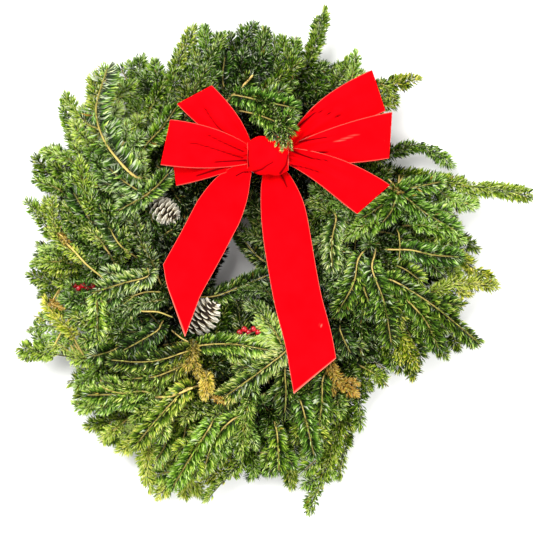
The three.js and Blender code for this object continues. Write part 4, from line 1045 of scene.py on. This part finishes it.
def needlePart(needles, keep):
    # the sign of a diamond's volume says which way round its four faces go
    points = needles["points"][keep]
    edges = points[:, 1:] - points[:, :1]
    turnedIn = np.einsum("ij,ij->i", np.cross(edges[:, 0], edges[:, 1]), edges[:, 2]) < 0
    pattern = np.array([0, 2, 1, 0, 1, 3, 0, 3, 2, 1, 2, 3])
    flipped = np.array([0, 1, 2, 0, 3, 1, 0, 2, 3, 1, 3, 2])
    triangles = (np.arange(len(points)) * 4)[:, None] + np.where(turnedIn[:, None], flipped, pattern)
    values = {key: np.clip(needles[key][keep], 0, 1).ravel() for key in needles if key != "points"}
    return points.reshape(-1, 3), triangles.reshape(-1, 3), values, 0


for spray in sprays.values():
    grown = [needles for needles in spray["needles"] if needles is not None]
    spray["needles"] = {key: np.concatenate([needles[key] for needles in grown]) for key in grown[0]}
numbers = countFromTop(np.concatenate([spray["needles"]["points"][:, 1] for spray in sprays.values()]))
chance = np.random.default_rng(cover["seed"]).random(len(numbers))
paintedShade = cover["paintedShade"] * np.minimum(numbers, cover["deepest"])
kept = (numbers < cover["visible"]) | (chance > cover["dropped"])
needleTotal, place = 0, 0
for name, spray in sprays.items():
    needles = spray["needles"]
    here = slice(place, place + len(needles["points"]))
    place = here.stop
    # painted shade: each needle is darkened for every needle that lies above it, up to the deepest that
    # count
    needles["needleTone"] = needles["needleTone"] - paintedShade[here, None]
    points, triangles, values, index = joinParts([needlePart(needles, kept[here]), *spray["twigs"]])
    kind = spray["kind"]
    piece = addPiece(f"grown_{name}", points, triangles, [firMaterials[kind], barkMaterial],
                     values, index, index == 1)
    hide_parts(name)
    needleTotal += len(triangles)
print("stage 4: sprays meshed,", needleTotal, "triangles")


# Bow

halfRibbon = 31.75
bow = {
    "ribbonWidth": 2 * halfRibbon, "thickness": 0.9, "knotThickness": 1.2,
    "knotMiddle": (29.6, 133.0, 118.0), "knotLength": 54.0, "knotRadius": 26.6, "knotEndShare": 0.76,
    "waistOffset": 21.0, "waistHalfWidth": 10.0, "pleats": 3.0, "pleatDepth": 5.2,
    "loops": [
        {"side": -1, "waist": -4.5, "lower": (-94, 95, 103), "upper": (-101, 146, 97),
         "puff": 11, "spread": 1.6, "bend": 0.0},
        {"side": 1, "waist": -4.5, "lower": (188, 196, 101), "upper": (170, 251, 112),
         "puff": 14, "spread": 2.4, "bend": 9.0},
        {"side": -1, "waist": 0, "lower": (-93, 205, 104), "upper": (-46, 230, 114),
         "puff": 13, "spread": 2.4, "bend": 0.0},
        {"side": 1, "waist": 0, "lower": (193, 132, 108), "upper": (197, 194, 128),
         "puff": 15, "spread": 1.9, "bend": 0.0},
        {"side": -1, "waist": 4.5, "lower": (-115, 123, 125), "upper": (-102, 184, 127),
         "puff": 15, "spread": 2.4, "bend": 0.0},
        {"side": 1, "waist": 4.5, "lower": (150, 57, 117), "upper": (194, 96, 130),
         "puff": 12, "spread": 1.6, "bend": 7.0},
    ],
    # the tails from the knot to the cut: x, y and height of the middle line, and half width
    "tailLeft": [(17, 133, 121, 3), (8, 129, 122, 4), (-2, 117, 120, 11), (-18, 94, 113, 24),
                 (-38, 58, 104, halfRibbon), (-60, 16, 99, halfRibbon), (-81, -22, 100, halfRibbon),
                 (-91, -41, 101, halfRibbon), (-99, -62, 102, halfRibbon)],
    "tailRight": [(33, 134, 91, 12), (36, 116, 93, 14), (41, 100, 103, 21), (49, 66, 105, 29),
                  (57, 14, 100, halfRibbon), (70, -58, 102, halfRibbon), (84, -112, 106, halfRibbon),
                  (93, -162, 108, halfRibbon)],
    "tailLeftSlant": -38.0, "tailRightSlant": 18.5,
    "creaseWidth": 2.2, "creaseDepth": 2.4,
    # how far a loop bulges, the roll across its width, the ripples of a tail and its pleats, mm
    "belly": 9.0, "roll": 1.6, "ripple": 1.2, "tailPleat": 3.4,
    "waistPhase": 0.14,         # where a loop starts and ends on its way round, radians
    "scuffWidth": 0.6, "scuffShare": 0.3,
}
# Folds pressed into the velvet, each a groove with painted shade along it, and pale scuffs on its pile, in
# pixels of the photograph
loopMarks = [
    {"folds": [[(196, 176), (214, 170), (236, 164)]], "scuffs": []},
    {"folds": [[(312, 110), (324, 112), (341, 117)], [(292, 132), (304, 122), (318, 110)]],
     "scuffs": []},
    {"folds": [[(205, 108.5), (211, 118), (216, 125), (225, 134), (237, 144), (249, 155)],
               [(215, 136), (224, 142), (236, 149)]], "scuffs": []},
    {"folds": [[(290, 144), (304, 141), (315, 139), (331, 136.5)], [(296, 155), (312, 153), (330, 152)]],
     "scuffs": [[(339.5, 140.5), (353.5, 135)]]},
    {"folds": [[(188, 143), (198, 144), (215, 149), (242, 158)], [(206, 134), (222, 142), (244, 152)],
               [(214, 162), (230, 161), (246, 160)]], "scuffs": []},
    {"folds": [[(289.5, 150), (300.5, 154), (311, 158), (330, 161)],
               [(292, 165), (306, 168), (322, 173)]], "scuffs": []},
]
tailLeftMarks = {"folds": [[(236, 176), (243, 172), (254, 172)]],
                 "scuffs": [[(156, 271), (161, 274)], [(157, 276), (163, 278)]]}
tailRightMarks = {"folds": [[(281, 175), (284, 180), (287, 187)]],
                  "scuffs": [[(320, 325), (322, 326)]]}
knotMarks = {"folds": [[(254.5, 171.5), (262, 169), (267, 165.5), (273, 162)],
                       [(280, 173), (286, 165), (288, 155)], [(249, 150), (248, 158), (249, 166)]],
             "scuffs": []}


def distanceToLines(surface, lines):
    # distance in the picture plane from every point of a surface to the nearest of some polylines
    seen = asSeen(surface)
    x, y = seen[..., 0], seen[..., 1]
    nearest = np.full(x.shape, 1e3)
    for line in lines:
        p = fromPixels(line)
        for a, b in zip(p[:-1], p[1:]):
            edge = b - a
            share = np.clip(((x - a[0]) * edge[0] + (y - a[1]) * edge[1]) / (edge ** 2).sum(), 0, 1)
            apart = np.hypot(x - a[0] - share * edge[0], y - a[1] - share * edge[1])
            nearest = np.minimum(nearest, apart)
    return nearest


def pressFolds(surface, marks):
    # a groove of a bell-shaped section along each fold, with a low ridge on either side of it; the value
    # returned is the painted shade along the groove
    d = distanceToLines(surface, marks["folds"]) / bow["creaseWidth"]
    surface[..., 2] -= bow["creaseDepth"] * (np.exp(-d ** 2) - 0.4 * np.exp(-(d - 2) ** 2))
    return np.exp(-(d * 1.5) ** 2)


def gridTriangles(rows, columns):
    # two triangles for every cell of a grid of points, counted row by row
    i, j = np.meshgrid(np.arange(rows - 1), np.arange(columns - 1), indexing="ij")
    a = i * columns + j
    return np.stack([a, a + columns, a + columns + 1, a, a + columns + 1, a + 1], -1).reshape(-1, 3)


def thickSheet(surface, thickness):
    # surface (rows, columns, 3); both faces stand half the thickness off it along its normal, and a
    # strip closes each of the four edges
    rows, columns = surface.shape[:2]
    normal = unit(np.cross(np.gradient(surface, axis=0), np.gradient(surface, axis=1)))
    top = (surface + normal * thickness / 2).reshape(-1, 3)
    under = (surface - normal * thickness / 2).reshape(-1, 3)
    grid = gridTriangles(rows, columns)
    n = rows * columns
    edge = np.concatenate([np.arange(columns - 1, -1, -1), np.arange(0, n, columns)[1:],
                           np.arange(n - columns, n)[1:], np.arange(n - 1, 0, -columns)[1:]])
    after = np.roll(edge, -1)
    rim = np.concatenate([np.stack([edge, after, after + n], -1),
                          np.stack([edge, after + n, edge + n], -1)])
    return np.concatenate([top, under]), np.concatenate([grid, grid[:, ::-1] + n, rim])


def loopSurface(loop, rows, columns):
    # the ribbon leaves the waist, runs out to its two corners, folds over and comes back. out is 0 at
    # the waist and 1 at the fold; pleats take up the width that is lost towards the waist
    u, v = np.meshgrid(np.linspace(0, 1, rows), np.linspace(-1, 1, columns), indexing="ij")
    phase = mix(bow["waistPhase"], 2 * np.pi - bow["waistPhase"], u)
    out = (1 - np.cos(phase)) / 2
    gap = np.sin(phase) * np.sin(phase / 2) ** 2 / 1.3
    knot = bow["knotMiddle"]
    start = np.array([knot[0] + loop["side"] * bow["waistOffset"], knot[1], knot[2] + loop["waist"]])
    lower, upper = (standAt(loop[key][:2], loop[key][2]) for key in ("lower", "upper"))
    middle, half = (lower + upper) / 2, (upper - lower) / 2
    spread = 1 - (1 - out) ** loop["spread"]
    waistHalf = np.array([0.0, bow["waistHalfWidth"], 0.0])
    place = start + (middle - start) * out[..., None]
    place += v[..., None] * (waistHalf + (half - waistHalf) * spread[..., None])
    # a bent loop leaves the knot level and then turns down: bend sin(pi out ** 0.8) across its run
    across = unit(np.cross([0, 0, 1.0], middle - start)) * loop["side"]
    place += across * (loop["bend"] * np.sin(np.pi * out ** 0.8))[..., None]
    halfWidth = np.linalg.norm(waistHalf + (half - waistHalf) * spread[..., None], axis=-1)
    narrow = 1 - halfWidth / halfRibbon
    wave = np.cos(v * bow["pleats"] * np.pi + loop["side"])
    pleat = bow["pleatDepth"] * np.clip(narrow, 0, 1) ** 0.8 * wave
    belly = bow["belly"] * np.sin(np.pi * out) * (1 - 0.5 * out)
    place[..., 2] += belly - gap * loop["puff"] + pleat * (1 - 0.5 * out)
    # a soft roll across the width keeps the face from being dead flat
    place[..., 2] += bow["roll"] * np.sin(np.pi * out) * np.cos(v * 1.7 + loop["side"] * 0.6)
    return place


def tailSurface(stations, slant, rows, columns):
    # middle line and half width from the stations; the cut end is slanted by v times the slant
    stations = np.array(stations, float)
    nodes = standAt(stations[:, :2], stations[:, 2])
    line = curveThrough(nodes, 2.0)
    run = np.linspace(0, 1, len(line))
    nodeRun = np.concatenate([[0], np.cumsum(np.linalg.norm(np.diff(nodes, axis=0), axis=1))])
    widths = curveThrough(np.column_stack([nodeRun, stations[:, 3]]), 1.0)
    halfAt = np.minimum(np.interp(run, widths[:, 0] / nodeRun[-1], widths[:, 1]), halfRibbon)
    length = np.sum(np.linalg.norm(np.diff(line, axis=0), axis=1))
    forwards, right, _ = directions(line)
    u, v = np.meshgrid(np.linspace(0, 1, rows), np.linspace(-1, 1, columns), indexing="ij")
    share = u * (1 + slant * v * u ** 4 / length)
    inside = np.clip(share, 0, 1)

    def along(values):
        return np.stack([np.interp(inside, run, values[:, k]) for k in range(3)], -1)

    place = along(line) + along(forwards) * ((share - inside) * length)[..., None]
    width = np.interp(inside, run, halfAt)
    place += along(right) * (v * width)[..., None]
    place[..., 2] += bow["ripple"] * np.sin(share * 9.0 + v * 1.3) * (0.3 + 0.7 * share)
    narrow = np.clip(1 - width / halfRibbon, 0, 1)
    place[..., 2] += bow["tailPleat"] * narrow * np.cos(v * 2.2 * np.pi) * np.clip(share * 8, 0, 1)
    return place, length


def ribbonPart(surface, marks, frayAt=None):
    # a length of ribbon with its folds, scuffs and cut end, from its middle surface
    foldShade = pressFolds(surface, marks).ravel()
    scuff = np.exp(-(distanceToLines(surface, marks["scuffs"]) / bow["scuffWidth"]) ** 2)
    scuff *= bow["scuffShare"]
    points, triangles = thickSheet(surface, bow["thickness"])
    rows, columns = surface.shape[:2]
    across = np.abs(np.broadcast_to(np.linspace(-1, 1, columns), (rows, columns))).ravel()
    fray = scuff if frayAt is None else np.maximum(scuff, frayAt(rows, columns))
    values = {"ribbonAcross": np.tile(across, 2), "ribbonFold": np.tile(foldShade, 2),
              "ribbonFray": np.tile(fray.ravel(), 2)}
    return points, triangles, values, 0


def endFray(rows, columns):
    # loose pale threads on the last 2 mm of a cut end
    u = np.linspace(0, 1, rows)[:, None]
    return np.clip((u - 0.992) / 0.008, 0, 1) * 0.5 * np.ones((1, columns))


loopParts = [ribbonPart(loopSurface(loop, 46, 33), marks) for loop, marks in zip(bow["loops"], loopMarks)]
leftSurface, leftLength = tailSurface(bow["tailLeft"], bow["tailLeftSlant"], 100, 31)
loopParts.append(ribbonPart(leftSurface, tailLeftMarks, endFray))
points, triangles, values, index = joinParts(loopParts)
loops = addPiece("bow_ribbon", points, triangles, [velvetMaterial], values, index)
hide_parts("bow_loops")

rightSurface, rightLength = tailSurface(bow["tailRight"], bow["tailRightSlant"], 120, 31)
points, triangles, values, index = joinParts([ribbonPart(rightSurface, tailRightMarks, endFray)])
tail = addPiece("bow_right_tail", points, triangles, [velvetMaterial], values, index)
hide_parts("bow_tail_right")


def knotPart():
    # radius = crown (1 - (1 - end) x ** 2) (1 + 0.06 x), with three soft folds that run round the knot
    half = bow["knotLength"] / 2
    x, turn = np.meshgrid(np.linspace(-1, 1, 35), np.linspace(0, 2 * np.pi, 81), indexing="ij")
    radius = bow["knotRadius"] * (1 - (1 - bow["knotEndShare"]) * x ** 2) * (1 + 0.06 * x)
    radius = radius - 1.1 * np.cos(x * 6.5 + np.sin(turn) * 0.8) - 0.8
    outer = np.stack([x * half, radius * np.cos(turn), radius * np.sin(turn)], -1) + bow["knotMiddle"]
    foldShade = pressFolds(outer, knotMarks).ravel()
    points, triangles = thickSheet(outer, bow["knotThickness"])
    across = np.abs(x).ravel()
    values = {"ribbonAcross": np.tile(across, 2), "ribbonFold": np.tile(foldShade, 2), "ribbonFray": 0.0}
    return points, triangles, values, 0


points, triangles, values, index = joinParts([knotPart()])
knot = addPiece("bow_knot_band", points, triangles, [velvetMaterial], values, index)
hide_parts("bow_knot")
print("stage 5: bow made")


# Cones and berries

cones = {
    "1": {"middle": (-112, 62, 58), "heading": -30, "tilt": 30, "length": 42, "half": 13.5},
    "2": {"middle": (-60, -83, 66), "heading": 50, "tilt": 20, "length": 52, "half": 17},
}
# a scale's points across and along it, and how far it rises, curls up, strays and is dished, mm
scales = {"count": 58, "across": 5, "along": 4, "rise": 3.0, "curl": 4.5, "stray": 0.4, "dish": 1.2,
          "thickness": 1.1, "seed": 40}


def coneMesh(cone, seed):
    # scales on a spiral of golden-angle steps; each is a small dished plate that leaves the axis,
    # stands out and curls up at its rim
    rng = np.random.default_rng(seed)
    count = scales["count"]
    k = np.arange(count)
    share = (k + 0.5) / count
    turn = np.radians(k * goldenAngle)
    outline = cone["half"] * np.sin(np.pi * mix(0.12, 0.95, share)) ** 0.7
    height = mix(-cone["length"] / 2, cone["length"] / 2, share)
    rows, columns = scales["across"], scales["along"]
    n = rows * columns
    a, b = np.meshgrid(np.linspace(-1, 1, rows), np.linspace(0, 1, columns), indexing="ij")
    a, b = a.ravel()[None], b.ravel()[None]
    reach = (0.25 + 0.9 * b) * outline[:, None] + scales["rise"] * b ** 2
    wide = 0.38 * outline[:, None] * (0.35 + 0.9 * b) * (1 - 0.35 * b ** 4 * a ** 2) + 0.5
    lift = scales["curl"] * b ** 1.5 + rng.normal(0, scales["stray"], (count, 1))
    lift = lift - scales["dish"] * (1 - a ** 2) * b
    radial = np.stack([np.cos(turn), np.sin(turn), np.zeros(count)], -1)[:, None]
    sideways = np.stack([-np.sin(turn), np.cos(turn), np.zeros(count)], -1)[:, None]
    axis = np.array([0, 0, 1.0])
    points = radial * reach[..., None] + sideways * (a * wide)[..., None]
    points = points + axis * (height[:, None] + lift)[..., None]
    under = points - (radial * 0.15 + axis) * scales["thickness"]
    grid = gridTriangles(rows, columns)
    edge = np.array([0, 1, 2, 3, 7, 11, 15, 19, 18, 17, 16, 12, 8, 4])
    after = np.roll(edge, -1)
    rim = np.concatenate([np.stack([edge, edge + n, after], -1),
                          np.stack([after, edge + n, after + n], -1)])
    pattern = np.concatenate([grid[:, ::-1], grid + n, rim[:, ::-1]])
    triangles = (np.arange(count)[:, None, None] * 2 * n + pattern[None]).reshape(-1, 3)
    points = np.concatenate([points, under], 1).reshape(-1, 3)
    frost = np.clip(b - 0.2, 0, 1) * 1.3
    frost = np.broadcast_to(np.concatenate([frost, frost * 0.5], 1), (count, 2 * n))
    frost = frost * rng.uniform(0.75, 1.1, (count, 1))
    return points, triangles, frost.ravel()


def coneCore(cone):
    # a slim spindle inside the scales: radius = 0.5 half sin(pi t) ** 0.6, t from 0.06 to 0.94
    n = 12
    t = np.linspace(0, 1, n)
    path = np.stack([0 * t, 0 * t, mix(-cone["length"] / 2, cone["length"] / 2, t)], -1)
    radii = 0.5 * cone["half"] * np.sin(np.pi * mix(0.06, 0.94, t)) ** 0.6
    angle = np.arange(n) / n * 2 * np.pi
    ring = np.stack([np.cos(angle), np.sin(angle), 0 * angle], -1)
    points = (path[:, None] + ring[None] * radii[:, None, None]).reshape(-1, 3)
    i, j = np.meshgrid(np.arange(n - 1), np.arange(n), indexing="ij")
    p, q = i * n + j, i * n + (j + 1) % n
    quads = np.stack([p, q, q + n, p, q + n, p + n], -1).reshape(-1, 3)
    ends = np.array([[0, 0, -cone["length"] / 2 - 1], [0, 0, cone["length"] / 2 + 1]])
    first, after = np.arange(n), (np.arange(n) + 1) % n
    last = (n - 1) * n
    caps = np.concatenate([np.stack([np.full(n, n * n), after, first], -1),
                           np.stack([np.full(n, n * n + 1), last + first, last + after], -1)])
    return np.concatenate([points, ends]), np.concatenate([quads, caps])


def turnCone(points, cone):
    # from upright to its tilt and heading: turn about Y by 90 - tilt, then about Z by the heading
    b, a = math.radians(90 - cone["tilt"]), math.radians(cone["heading"])
    x, y, z = points[:, 0], points[:, 1], points[:, 2]
    x, z = x * math.cos(b) + z * math.sin(b), -x * math.sin(b) + z * math.cos(b)
    x, y = x * math.cos(a) - y * math.sin(a), x * math.sin(a) + y * math.cos(a)
    return np.stack([x, y, z], -1) + cone["middle"]


for name, cone in cones.items():
    points, triangles, frost = coneMesh(cone, scales["seed"] + int(name))
    corePoints, coreTriangles = coneCore(cone)
    joined = joinParts([(turnCone(points, cone), triangles, {"scaleFrost": frost}, 0),
                        (turnCone(corePoints, cone), coreTriangles, {"scaleFrost": 0.0}, 0)])
    points, triangles, values, index = joined
    piece = addPiece(f"cone_scales_{name}", points, triangles, [coneMaterial],
                     values, index)
    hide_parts(f"frosted_cone_{name}")

picks = {
    "1": {"root": (-173.3, -30.6, 6.8), "end": (-220, -42, 74), "heading": 176},
    "2": {"root": (-26, -147.7, 6.8), "end": (4, -101, 74), "heading": 0},
}
# berries stand in a row, one and a half radii apart and in turn off to either side of it, mm
berry = {"count": 5, "radius": 4.2, "wire": 1.2, "apart": 1.5, "off": 2.2, "seed": 60,
         "bendAt": (0.4, 0.72), "step": 3.0}


def berryBall(middle, radius, seed):
    # a sphere that is dimpled at its crown: radius times 1 - 0.16 exp(-9 pole angle ** 2)
    rng = np.random.default_rng(seed)
    rows, n = 14, 16
    pole, turn = np.meshgrid(np.linspace(0.06, np.pi, rows), np.arange(n) / n * 2 * np.pi, indexing="ij")
    r = radius * (1 - 0.16 * np.exp(-9 * pole ** 2)) * rng.uniform(0.94, 1.04)
    x, y = r * np.sin(pole) * np.cos(turn), r * np.sin(pole) * np.sin(turn)
    local = np.stack([x, y, r * np.cos(pole)], -1)
    i, j = np.meshgrid(np.arange(rows - 1), np.arange(n), indexing="ij")
    a, b = i * n + j, i * n + (j + 1) % n
    quads = np.stack([a, a + n, b + n, a, b + n, b], -1).reshape(-1, 3)
    top = np.stack([np.full(n, rows * n), np.arange(n), (np.arange(n) + 1) % n], -1)
    points = np.concatenate([local.reshape(-1, 3), [[0, 0, local[0, :, 2].mean()]]])
    return points + middle, np.concatenate([quads, top])


for name, pick in picks.items():
    root, end = np.array(pick["root"], float), np.array(pick["end"], float)
    half = mix(root, end, berry["bendAt"][0])
    half[2] = end[2] * berry["bendAt"][1]
    path = curveThrough([root, half, end], berry["step"])
    parts = [tubeAlong(path, np.full(len(path), berry["wire"]), 6, {}, 1)]
    angle = math.radians(pick["heading"])
    for i in range(berry["count"]):
        run = (i - (berry["count"] - 1) / 2) * berry["radius"] * berry["apart"]
        off = berry["off"] if i % 2 else -berry["off"]
        middle = end + [run * math.cos(angle) - off * math.sin(angle),
                        run * math.sin(angle) + off * math.cos(angle), i % 3]
        ball = berryBall(middle, berry["radius"], berry["seed"] + i)
        parts.append((ball[0], ball[1], {}, 0))
    points, triangles, values, index = joinParts(parts)
    piece = addPiece(f"berries_{name}", points, triangles, [berryMaterial, wireMaterial],
                     values, index)
    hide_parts(f"berry_pick_{name}")

for name in ("clamp_ring", "bow_tie_wire", "cone_wire_1", "cone_wire_2"):
    node = bpy.data.objects[name]
    node.data.materials.clear()
    node.data.materials.append(wireMaterial)
print("stage 6: cones, berries and wires made")


# Floor, light and camera

def makeFloor():
    # one pale matt sheet well past the view, just under the wreath; sizes in m
    material = newMaterial("paleFloor", {"Roughness": 0.9, "Specular IOR Level": 0.2,
                                         "Base Color": linearColour("#f4f4f2")})[0]
    mesh = bpy.data.meshes.new("floor")
    reach, height = 6.0, -0.0008
    corners = [(-reach, -reach), (reach, -reach), (reach, reach), (-reach, reach)]
    mesh.from_pydata([(x, y, height) for x, y in corners], [], [(0, 1, 2, 3)])
    mesh.materials.append(material)
    floor = bpy.data.objects.new("floor", mesh)
    bpy.context.scene.collection.objects.link(floor)


def areaLight(name, place, target, size, power):
    # a square white panel of this size in m that faces its target, power in W
    data = bpy.data.lights.new(name, "AREA")
    data.size = size
    data.energy = power
    lamp = bpy.data.objects.new(name, data)
    lamp.location = place
    lamp.rotation_euler = (Vector(target) - Vector(place)).to_track_quat("-Z", "Y").to_euler()
    bpy.context.scene.collection.objects.link(lamp)


makeFloor()
areaLight("keyLight", (-1.0, 1.15, 2.5), (0, 0, 0), 1.8, 120)
areaLight("fillLight", (1.6, -1.0, 2.2), (0, 0, 0), 2.2, 56)
world = bpy.data.worlds.new("paleStudio")
world.use_nodes = True
world.node_tree.nodes["Background"].inputs["Color"].default_value = linearColour("#ffffff")
world.node_tree.nodes["Background"].inputs["Strength"].default_value = 0.92
bpy.context.scene.world = world
bpy.context.scene.view_settings.view_transform = "Standard"
bpy.context.scene.view_settings.look = "None"

camera = bpy.data.cameras.new("camera")
camera.sensor_width = 36.0
half = view["frame"] / 2
centre = toMetres([*fromPixels([(half, half)])[0], 0.0])
spanMetres = view["frame"] * view["pixelMm"] / 1000
height = view["planeHeight"] + view["distance"]
camera.lens = camera.sensor_width * view["distance"] / spanMetres
cameraObject = bpy.data.objects.new("camera", camera)
cameraObject.location = (centre[0], centre[1], height)
bpy.context.scene.collection.objects.link(cameraObject)
bpy.context.scene.camera = cameraObject

triangleTotal = sum(len(o.data.polygons) for o in bpy.context.scene.objects if o.type == "MESH")
print("stage 7: camera set,", triangleTotal, "faces in all")
